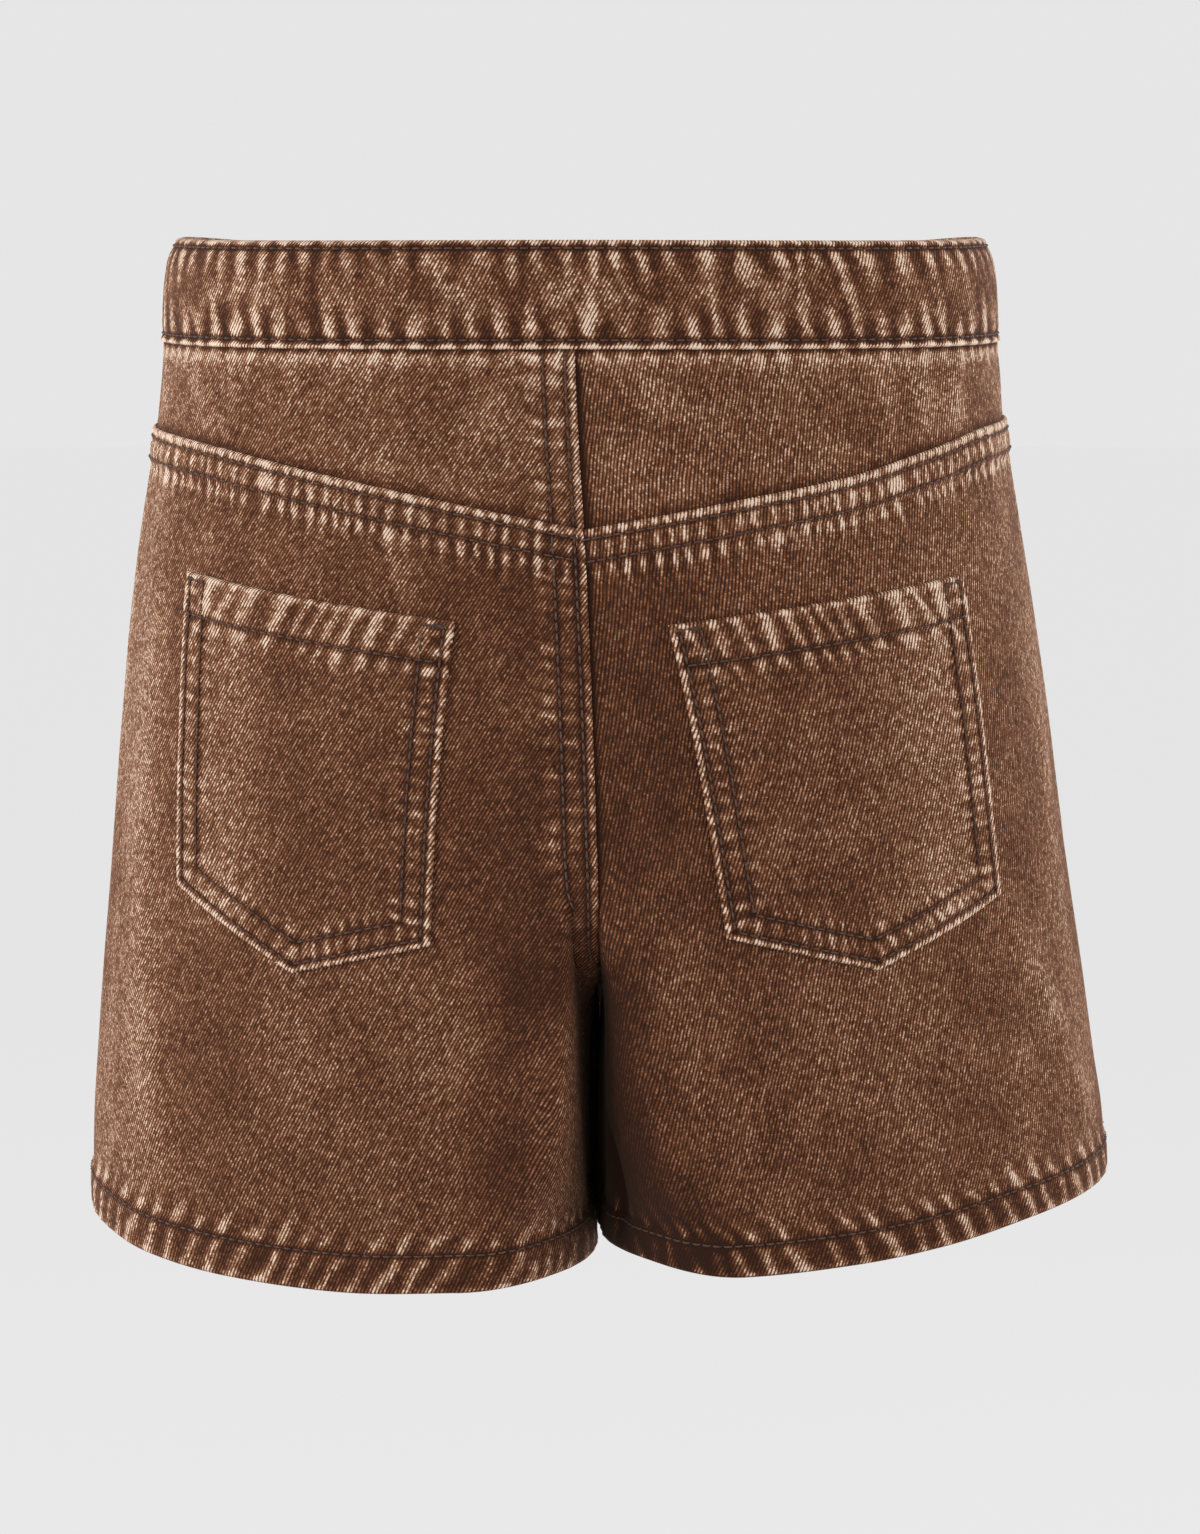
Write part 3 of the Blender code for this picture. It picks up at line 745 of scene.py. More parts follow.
class Sewing:
    """Stitches of one panel, gathered into one mesh. Each is a grain of thread with ends that dip in."""

    # Along a stitch: share of its length, share of its thickness, and lift above the cloth in mm
    RINGS = ((0.0, 0.35, -0.35), (0.16, 0.85, 0.12), (0.5, 1.0, 0.3), (0.84, 0.85, 0.12), (1.0, 0.35, -0.35))
    SIDES = 5

    # A bartack: length of one of its stitches, and their number
    BAR_WIDTH = 1.7
    BAR_STITCHES = 15

    def __init__(self) -> None:
        """Starts with no stitch."""
        self.stitches: list[tuple[Array, ...]] = []

    def add(self, starts: Array, ends: Array, outs: Array, radius: float = THREAD_RADIUS) -> None:
        """Adds stitches.

        Args:
            starts: Points where they leave the cloth.
            ends: Points where they go back in.
            outs: Directions out of the cloth.
            radius: Half the thread's thickness.
        """
        self.stitches.append((starts, ends, outs, np.full(len(starts), radius)))

    def row(self, path: Surface) -> None:
        """Adds a row of stitches.

        Args:
            path: The cloth along the row, at places close together.
        """
        points = path.face_points
        steps = np.linalg.norm(np.diff(points, axis=0), axis=1)
        run = np.concatenate([[0], np.cumsum(steps)])
        first = np.arange(0.4, run[-1] - STITCH_LENGTH, STITCH_PITCH)
        first = first + 0.22 * (lattice(len(points), (len(first),)) - 0.5)

        def read(values: Array, at: Array) -> Array:
            """Values at distances along the row."""
            return np.stack([np.interp(at, run, values[:, axis]) for axis in range(3)], axis=1)

        last = first + STITCH_LENGTH
        self.add(read(points, first), read(points, last), read(path.out, (first + last) / 2))

    def bar(self, start: Array, end: Array, out: Array) -> None:
        """Adds a bartack: short slanting stitches packed side by side.

        Args:
            start: One end.
            end: The other.
            out: Direction out of the cloth.
        """
        share = (np.arange(self.BAR_STITCHES)[:, None] + 0.5) / self.BAR_STITCHES
        middle = start + (end - start) * share
        run = (end - start) / np.linalg.norm(end - start)
        across = np.cross(out, run) * self.BAR_WIDTH / 2
        slant = run * 0.25
        outs = np.repeat(out[None], self.BAR_STITCHES, axis=0)
        self.add(middle - across - slant, middle + across + slant, outs, THREAD_RADIUS * 0.8)

    def make(self, name: str, material: Material) -> Object:
        """Builds the mesh of all stitches.

        Args:
            name: Name of the piece.
            material: Its finish.

        Returns:
            The piece.
        """
        starts, ends, outs, radii = (np.concatenate(parts) for parts in zip(*self.stitches))
        count, sides, rings = len(starts), self.SIDES, len(self.RINGS)
        outs = outs / np.linalg.norm(outs, axis=1, keepdims=True)
        run = ends - starts
        run = run / np.linalg.norm(run, axis=1, keepdims=True)
        across = np.cross(run, outs)
        turn = 2 * np.pi * np.arange(sides) / sides
        points = np.zeros((count, rings, sides, 3))
        for ring, (share, thick, lift) in enumerate(self.RINGS):
            middle = starts + (ends - starts) * share + outs * lift
            for corner, angle in enumerate(turn):
                reach = (outs * math.cos(angle) + across * math.sin(angle)) * (radii * thick)[:, None]
                points[:, ring, corner] = middle + reach
        first = (np.arange(count) * rings * sides)[:, None]
        quads = []
        for ring in range(rings - 1):
            for corner in range(sides):
                a, b = ring * sides + corner, ring * sides + (corner + 1) % sides
                quads.append(first + np.array([a, b, b + sides, a + sides]))
        faces = np.concatenate(quads).tolist()
        cap = np.arange(sides)
        faces += (first + cap[::-1]).tolist() + (first + (rings - 1) * sides + cap).tolist()
        return add_piece(name, new_mesh(name, points.reshape(-1, 3), faces, material))


def new_mesh(name: str, points: Array, faces: list, *finishes: Material) -> Mesh:
    """Makes a mesh.

    Args:
        name: Its name.
        points: Its points in mm.
        faces: Its faces, as lists of points.
        *finishes: Its materials.

    Returns:
        The mesh.
    """
    data = bpy.data.meshes.new(name)
    data.from_pydata((points * MM).tolist(), [], faces)
    data.shade_smooth()
    for finish in finishes:
        data.materials.append(finish)
    return data


def add_object(name: str, data: ID, place: Vector | tuple = (0, 0, 0), up: Vector | None = None) -> Object:
    """Puts an object in the scene.

    Args:
        name: Its name.
        data: Its mesh, light or camera.
        place: Where it stands, in metres.
        up: Direction of its own Z axis, if it is turned.

    Returns:
        The object.
    """
    made = bpy.data.objects.new(name, data)
    bpy.context.scene.collection.objects.link(made)
    made.location = place
    if up is not None:
        made.rotation_mode = "QUATERNION"
        made.rotation_quaternion = up.to_track_quat("Z", "Y")
    return made


def add_piece(name: str, data: Mesh, *where: Vector) -> Object:
    """Puts a mesh in the scene as a piece that rides with the garment.

    Args:
        name: Name of the piece.
        data: Its mesh.
        *where: Its place in metres and the direction of its own Z axis, unless they are the scene's.

    Returns:
        The piece.
    """
    piece = add_object(name, data, *where)
    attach(piece, "root")
    return piece


@dataclass(frozen=True)
class Denims:
    """Finishes that a panel is dressed with."""

    face: Material
    reverse: Material
    thread: Material


@dataclass(kw_only=True)
class Panel(ABC):
    """A cut of denim, laid on the form and sewn down.

    Attributes:
        quarter: The quarter of the garment that it covers, or that it starts in.
        flat: Width and length of the cut, in metres. It is not used.
        area: Flat area of the cut, in square metres. It is not used.
        twill_angle: Slope of the twill lines as seen from outside, in degrees.
        creases: Its main creases.
        seed: Which noise.
        sewing: Its stitches.
    """

    quarter: Quarter
    flat: tuple[float, float]
    area: float
    twill_angle: float
    creases: tuple[Crease, ...] = ()
    seed: int = 0
    sewing: Sewing = field(default_factory=Sewing)

    # Rows at its first and last edge that are turned in, and show the face on the inside too
    turned_rows = (0, 0)

    @property
    @abstractmethod
    def node(self) -> str:
        """The CAD node that it stands for."""

    @abstractmethod
    def lay(self) -> Surface:
        """The cloth at the panel's grid."""

    @abstractmethod
    def sew(self) -> None:
        """Adds the panel's stitches."""

    def shell(self, cloth: Surface, denims: Denims) -> Object:
        """Builds the panel's closed thin shell.

        Args:
            cloth: The cloth at its grid, whose rows run down and whose columns run on along it.
            denims: Its finishes.

        Returns:
            The panel.
        """
        name = f"denim_{self.node}"
        faces_in = self.quarter.side * self.quarter.face < 0
        rows, columns = cloth.outer.shape
        count = rows * columns
        points = np.concatenate([cloth.face_points, cloth.base + cloth.out * cloth.inner[..., None]])
        index = np.arange(count).reshape(rows, columns)
        quads = np.stack([index[:-1, :-1], index[1:, :-1], index[1:, 1:], index[:-1, 1:]], axis=-1)
        if faces_in:
            quads = quads[..., ::-1]
        border = np.concatenate([index[0, :], index[1:, -1], index[-1, -2::-1], index[-2:0:-1, 0]])
        after = np.roll(border, -1)
        rim = np.stack([border, after, after + count, border + count], axis=-1)
        if faces_in:
            rim = rim[..., ::-1]
        face = quads.reshape(-1, 4)
        reverse = face[:, ::-1] + count
        faces = np.concatenate([face, reverse, rim])
        data = new_mesh(name, points.reshape(-1, 3), faces.tolist(), denims.face, denims.reverse)
        layer = np.zeros((rows - 1, columns - 1), int)
        first, last = self.turned_rows
        layer[first : rows - 1 - last] = Layer.REVERSE
        slots = np.concatenate([np.zeros(len(face), int), layer.ravel(), np.zeros(len(rim), int)])
        data.polygons.foreach_set("material_index", slots.astype(np.int32))
        # Rubbed-off dye, less the shade that is painted in under edges, in a hollow and between the legs
        wear = data.attributes.new("wear", "FLOAT", "POINT")
        both = np.concatenate([cloth.wear.ravel(), np.full(count, REVERSE_WEAR)])
        wear.data.foreach_set("value", both.astype(np.float32))
        slope = math.radians(self.twill_angle)
        right, up = cloth.grain[..., 0], cloth.grain[..., 1]
        across = up * math.cos(slope) - right * math.sin(slope)
        along = right * math.cos(slope) + up * math.sin(slope)
        lines = np.tile(np.stack([across.ravel(), along.ravel()], axis=1), (2, 1))
        corners = np.zeros(len(data.loops), np.int32)
        data.loops.foreach_get("vertex_index", corners)
        data.uv_layers.new(name="twill").data.foreach_set("uv", lines[corners].astype(np.float32).ravel())
        data.update()
        return add_piece(name, data)

    def make(self, denims: Denims) -> list[Object]:
        """Args:
            denims: Its finishes.

        Returns:
            The panel and its stitching, if it has any.
        """
        panel = self.shell(self.lay(), denims)
        self.sew()
        stitching = []
        if self.sewing.stitches:
            stitching = [self.sewing.make(f"stitching_{self.node}", denims.thread)]
        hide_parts(self.node)
        return [panel, *stitching]


# Felled seams of the back: under the yokes, and at the centre, where they are flatter
FELL = Seam(
    rows=(3.5, 10.9), wall=FELLED, depth=FELL_WIDTH + 0.6, pitch=5.6, pucker=0.55, lean=0.1, reach=4.0,
    streak=0.7, plateau=0.14, rim=0.36, rim_width=1.6, fringe=0.24, seed=11,
)
CENTRE_FELL = replace(FELL, streak=0.36, plateau=0.04, rim=0.22, rim_width=1.3, fringe=0.15, seed=19)

# Where a panel of cloth is gathered a little by the waistband
GATHERED = Seam(pitch=9.0, pucker=0.3, lean=0.1, reach=4.5, streak=0.24, rim=0.0)

# Hem of a leg, without its width
LEG_HEM = Seam(
    wall=FOLDED, pitch=9.8, pucker=0.65, lean=-0.28, reach=4.2, streak=0.62, sharp=2.6, plateau=-0.03,
    rim=0.2, fringe=0.1,
)


class Edge(NamedTuple):
    """Top or hem of a leg panel, at its dense columns.

    line is its height, run the distance along it and slope the cosine of its slope.
    """

    line: Array
    run: Array
    slope: Array


# How much paler the wash leaves a leg at its side seam, and how much darker by the centre, partly painted
# shade
SIDE_FADES_AND_PAINTED_CENTRE_SHADES = {Side.LEFT: (0.18, 0.12), Side.RIGHT: (0.12, 0.09)}


@dataclass(kw_only=True)
class LegPanel(Panel):
    """A leg panel of the shorts, from the seam under the yoke or waistband down to the hem.

    Attributes:
        top_seam: Seam at its top.
        hem: Its hem.
        centre_seam: Seam at the centre, if it is the panel that laps the other there.
        column_step: Distance between two columns.
    """

    top_seam: Seam
    hem: Seam
    centre_seam: Seam | None = None
    column_step: float = 1.35

    # Widths of the stretches between which the columns change their spacing: the leg, the bend to its
    # inner side, that side, and the slope and the layers of the seam
    STRETCHES = (165.0, 34.0, 40.0, SLOPE, FELL_WIDTH)

    # Columns at which the edges are worked out, and places along a stitch row
    DENSE_COLUMNS = 600
    ROW_PLACES = 420

    # How far the rows of the grid are close together, below the top and past the layers of the hem
    TOP_BAND = 20.0
    HEM_BAND = 6.0

    # Height above the crotch at which the stitches of the centre seam end
    ROWS_END = 22.0

    def __post_init__(self) -> None:
        """Works out its columns, and its top and hem along them."""
        step = self.column_step
        steps = (step, step, step * 1.2, 0.8, 0.9)
        counts = [max(int(round(width / step)), 2) for width, step in zip(self.STRETCHES, steps)]
        self.stops = np.concatenate([[0], np.cumsum(counts)]).astype(float)
        self.dense = np.linspace(0, self.stops[-1], self.DENSE_COLUMNS)
        quarter = self.quarter
        self.lapped = quarter.face == Face.BACK
        self.laid_under = self.lapped and self.centre_seam is None
        share = self.along(HIP_LEVEL, self.dense) / quarter.length(HIP_LEVEL)
        low_share = self.along(HEM_LEVEL, self.dense) / quarter.length(HEM_LEVEL)
        if self.lapped:
            top = through(YOKE_SEAM[quarter.side], share)[..., 1] + FOLD_RISE
        else:
            top = band_edge(Face.FRONT, share) - SEAM_GAP + LAP
        self.top_edge = self.measure(top)
        self.hem_edge = self.measure(through(HEM_EDGE[quarter.side], low_share)[..., 1])
        self.turned_rows = (0, len(near_edge(self.hem.depth)) - 1)

    @property
    def node(self) -> str:
        """The CAD node that it stands for."""
        return f"{self.quarter.face.name.lower()}_{self.quarter.side.name.lower()}"

    def measure(self, line: Array) -> Edge:
        """Measures an edge.

        Args:
            line: Its height at the dense columns.

        Returns:
            The edge.
        """
        points = self.quarter.place(line, self.along(line, self.dense))
        steps = np.diff(points, axis=0)
        run = np.concatenate([[0], np.cumsum(np.linalg.norm(steps, axis=1))])
        rise = np.gradient(line, run)
        return Edge(line, run, np.sqrt(np.clip(1 - rise**2, 0.3, 1)))

    def breaks(self, height: Array) -> Array:
        """Finds the places where the columns change their spacing.

        Args:
            height: Heights.

        Returns:
            Distances along the cloth, along the last axis.
        """
        height = np.asarray(height, float)
        total = self.quarter.length(height)
        start, end = self.quarter.bend(height)
        first = np.full_like(total, SEAM_GAP / 2)
        last = total - FELL_WIDTH - SLOPE
        start, end = np.minimum(start, last - 18.0), np.minimum(end, last - 6.0)
        under = LAP * above_parting(height) if self.laid_under else 0.0
        return np.stack([first, start, end, last, total - FELL_WIDTH, total + under], axis=-1)

    def along(self, height: Array | float, column: Array) -> Array:
        """Finds the distance along the cloth of each column at each height.

        Args:
            height: Heights.
            column: Columns, which may lie between two whole ones.

        Returns:
            Distances from the side seam.
        """
        height, column = np.broadcast_arrays(np.asarray(height, float), np.asarray(column, float))
        stops = self.breaks(height)
        piece = np.clip(np.searchsorted(self.stops, column, side="right") - 1, 0, len(self.stops) - 2)
        low = np.take_along_axis(stops, piece[..., None], -1)[..., 0]
        high = np.take_along_axis(stops, piece[..., None] + 1, -1)[..., 0]
        share = (column - self.stops[piece]) / (self.stops[piece + 1] - self.stops[piece])
        return low + (high - low) * share

    def column_at(self, height: Array, along: Array) -> Array:
        """Finds columns, along a line of places.

        Args:
            height: Heights.
            along: Distances from the side seam.

        Returns:
            The column at each place.
        """
        stops = self.breaks(height)
        return np.array([np.interp(a, s, self.stops) for a, s in zip(along, stops)])

    def read(self, values: Array, column: Array) -> Array:
        """Reads a line known at the dense columns."""
        return np.interp(column, self.dense, values)

    def surface(self, height: Array, column: Array) -> Surface:
        """Finds the cloth at places of the panel.

        Args:
            height: Heights.
            column: Columns.

        Returns:
            The cloth there.
        """
        quarter = self.quarter
        along = self.along(height, column)
        top, hem, centre = self.top_seam, self.hem, self.centre_seam
        top_line, top_run, top_slope = (self.read(values, column) for values in self.top_edge)
        hem_line, hem_run, hem_slope = (self.read(values, column) for values in self.hem_edge)
        from_top = (top_line - height) * top_slope
        from_hem = (height - hem_line) * hem_slope
        from_centre = quarter.length(height) - along
        top_relief, top_wear = top.press(top_run, from_top)
        hem_relief, hem_wear = hem.press(hem_run, from_hem)
        wall = np.maximum(top.thickness(from_top), hem.thickness(from_hem))
        relief, wear = top_relief + hem_relief, top_wear + hem_wear
        rounding = roll(from_hem, 1.2) * (0.5 + 0.5 * roll(along, 0.9))
        inner = 0.35 * FOLDED * (1 - roll(from_hem, 0.9))
        if self.lapped:
            rounding = rounding * roll(from_top, 1.3)
            lifted = YOKE_LAP_LIFT * lapping(from_top)
            inner = np.maximum(inner, lifted)
            wall = np.maximum(wall, lifted + CLOTH - 0.05)
        if centre is not None:
            shows = above_parting(height)
            centre_relief, centre_wear = centre.press(-height, from_centre)
            wall = np.maximum(wall, centre.thickness(from_centre))
            relief = relief + centre_relief * np.maximum(shows, 0.25)
            wear = wear + centre_wear * np.maximum(shows, 0.3)
            rounding = rounding * roll(from_centre, 1.3)
            inner = np.maximum(inner, LAP_LIFT * lapping(from_centre) * shows)
        else:
            rounding = rounding * (0.4 + 0.6 * roll(from_centre, 0.9))
        if self.laid_under:
            # Painted shadow along the centre, under the edge of the panel that laps this one
            wear = wear - 0.3 * bell(from_centre, 1.4)
        fold, crease_wear_and_shade = folds(self.creases, along, height)
        wear = wear + crease_wear_and_shade + self.wash(height, along, from_centre)
        outer = inner + (wall - inner) * (0.45 + 0.55 * rounding) + relief * rounding + fold
        return quarter.cloth(height, along, outer, inner + fold, wear)

    def wash(self, height: Array, along: Array, from_centre: Array) -> Array:
        """Finds how far the dye is rubbed off away from the seams: paler at the side, darker by the centre,
        where it is less faded and painted in shade, and painted in shade inside a leg.

        Args:
            height: Heights.
            along: Distances from the side seam.
            from_centre: Distances from the centre seam or the inseam.

        Returns:
            Shares of dye that are rubbed off, less the painted shade.
        """
        paler, darker = SIDE_FADES_AND_PAINTED_CENTRE_SHADES[self.quarter.side]
        clouds = patches(along / 26 + 40, height / 44 + 60, self.seed + 5) - 0.5
        streak = 0.1 * bell(along - 36, 9) * patches(along / 9, height / 60, 3)
        side = paler * np.exp(-along / 28) + streak
        # Darker by the centre: less faded there, and painted shade where the cloth recedes at the seat's
        # cleft
        middle = darker * bell(from_centre, 58)
        turned = along - self.quarter.bend(height)[0]
        # Painted shade between the legs: a narrow band at the left leg's bend, all over the right leg's inner
        # side
        if self.quarter.side == Side.LEFT:
            inside = (0.15 - 0.12 * smooth((-290 - height) / 26)) * bell(turned + 8, 11)
        else:
            inside = 0.35 * smooth((turned + 14) / 36)
        inside = inside * smooth((-216 - height) / 20)
        return 0.3 + 0.14 * clouds + side - middle - inside

    def heights(self, column: Array) -> Array:
        """Finds the heights of the grid's rows.

        Args:
            column: Columns.

        Returns:
            Height of each row at each column.
        """
        top, hem = self.read(self.top_edge.line, column), self.read(self.hem_edge.line, column)
        hem_band = self.hem.depth + self.HEM_BAND
        first, low = top - self.TOP_BAND, hem + hem_band
        rows = [top - step for step in near_edge(self.TOP_BAND)]
        rows += [first + (CLEFT_TOP - first) * share for share in fine(0, 1, 3.4 / 95)[1:]]
        rows += [np.full_like(top, level) for level in fine(CLEFT_TOP, CROTCH, 3.2)[1:]]
        rows += [CROTCH + (low - CROTCH) * share for share in fine(0, 1, 3.2 / 68)[1:]]
        rows += [hem + step for step in near_edge(hem_band)[-2::-1]]
        return np.array(rows)

    def lay(self) -> Surface:
        """The cloth at the panel's grid."""
        column = np.arange(self.stops[-1] + 1)
        height = self.heights(column)
        return self.surface(height, np.broadcast_to(column, height.shape))

    def edge_path(self, edge: Edge, rise: float) -> Surface:
        """Finds the cloth along a line beside an edge.

        Args:
            edge: The edge.
            rise: Distance up from it.

        Returns:
            The cloth along the line.
        """
        column = np.linspace(0.5, self.stops[-1] - 1, self.ROW_PLACES)
        height = self.read(edge.line, column) + rise / self.read(edge.slope, column)
        return self.surface(height, column)

    def sew(self) -> None:
        """Adds the stitch rows of the panel's seams."""
        for row in self.hem.rows:
            self.sewing.row(self.edge_path(self.hem_edge, row))
        if self.lapped:
            for row in self.top_seam.rows:
                self.sewing.row(self.edge_path(self.top_edge, -row))
        if self.centre_seam is not None:
            height = np.linspace(float(self.top_edge.line[-1]) - 1.5, CROTCH + self.ROWS_END, 240)
            for row in self.centre_seam.rows:
                column = self.column_at(height, self.quarter.length(height) - row)
                self.sewing.row(self.surface(height, column))


@dataclass(kw_only=True)
class Yoke(Panel):
    """A back yoke, between the waistband and a leg panel."""

    TOP = replace(GATHERED, pucker=0.35, lean=0.15, streak=0.26, seed=31)

    # Height at which its length is measured
    LEVEL = -50.0

    @property
    def laps(self) -> bool:
        """Whether it laps the other yoke at the centre back."""
        return self.quarter.side == Side.LEFT

    @property
    def node(self) -> str:
        """The CAD node that it stands for."""
        return f"yoke_{self.quarter.side.name.lower()}"

    def seam_line(self, share: float | Array) -> Array:
        """Height of the fold of the seam under it, at shares of the way to the centre."""
        return through(YOKE_SEAM[self.quarter.side], np.clip(share, 0, 1))[..., 1] + FOLD_RISE

    def surface(self, height: Array, share: Array) -> Surface:
        """Finds the cloth at places of the yoke.

        Args:
            height: Heights.
            share: Shares of the way from the side seam to the centre.

        Returns:
            The cloth there.
        """
        quarter = self.quarter
        height, share = np.broadcast_arrays(height, share)
        total = quarter.length(height)
        along = np.maximum(share * total, SEAM_GAP / 2)
        from_centre = total - along
        from_band = band_edge(Face.BACK, share) - height
        from_seam = height - self.seam_line(share)
        relief, wear = self.TOP.press(along, from_band + 1.0)
        # A rubbed line 4 mm under the waistband, and painted shadow right under the band's edge
        wear = wear + 0.14 * bell(from_band - 4.0, 2.2) - 0.35 * bell(from_band, 1.3)
        # Painted shadow along the raised fold of the seam under the yoke
        wear = wear - 0.22 * bell(from_seam, 2.4)
        wall = np.full_like(relief, CLOTH)
        inner = np.zeros_like(relief)
        rounding = 0.5 + 0.5 * roll(along, 0.9)
        if self.laps:
            centre_relief, centre_wear = CENTRE_FELL.press(-height, from_centre)
            relief, wear = relief + centre_relief, wear + centre_wear
            wall = CENTRE_FELL.thickness(from_centre)
            rounding = rounding * roll(from_centre, 1.3)
            inner = LAP_LIFT * lapping(from_centre)
        else:
            # Painted shadow in the slot under the edge of the yoke that laps this one
            wear = wear - 0.5 * bell(np.maximum(from_centre, 0), 2.0)
        fold, crease_wear_and_shade = folds(self.creases, along, height)
        relief, wear = relief + fold, wear + crease_wear_and_shade
        clouds = patches(along / 22 + 9, height / 20 + 31, self.seed + 7) - 0.5
        wear = wear + 0.35 + 0.16 * clouds + 0.11 * np.exp(-along / 22)
        tucked = smooth((from_band + 0.5) / 1.5) * smooth((from_seam + 0.5) / 1.5)
        wall = inner + (wall - inner) * (0.45 + 0.55 * rounding)
        outer = np.where(tucked < 1, np.minimum(wall, CLOTH + (wall - CLOTH) * tucked), wall)
        outer = outer + relief * rounding * tucked
        return quarter.cloth(height, along, outer, inner, wear)

    def lay(self) -> Surface:
        """The cloth at the yoke's grid."""
        length = float(self.quarter.length(self.LEVEL))
        edge = near_edge(14.0)[::-1] / length
        share = np.concatenate([fine(0, 1 - edge[0], 1.35 / 230)[:-1], 1 - edge])
        if not self.laps:
            past = LAP / length
            share = np.concatenate([share, [1 + past / 2, 1 + past]])
        top = band_edge(Face.BACK, share) + LAP
        bottom = self.seam_line(share) - LAP
        step = np.concatenate([[0, 0.025], fine(0.05, 0.25, 0.02), fine(0.27, 0.93, 0.033), [0.965, 1.0]])
        height = top + (bottom - top) * step[:, None]
        return self.surface(height, np.broadcast_to(share, height.shape))

    def sew(self) -> None:
        """Adds the stitch rows of the centre seam to the yoke that laps."""
        height = np.linspace(float(band_edge(Face.BACK, 1.0)) - 0.5, float(self.seam_line(1.0)), 90)
        for row in CENTRE_FELL.rows if self.laps else ():
            self.sewing.row(self.surface(height, 1 - row / self.quarter.length(height)))


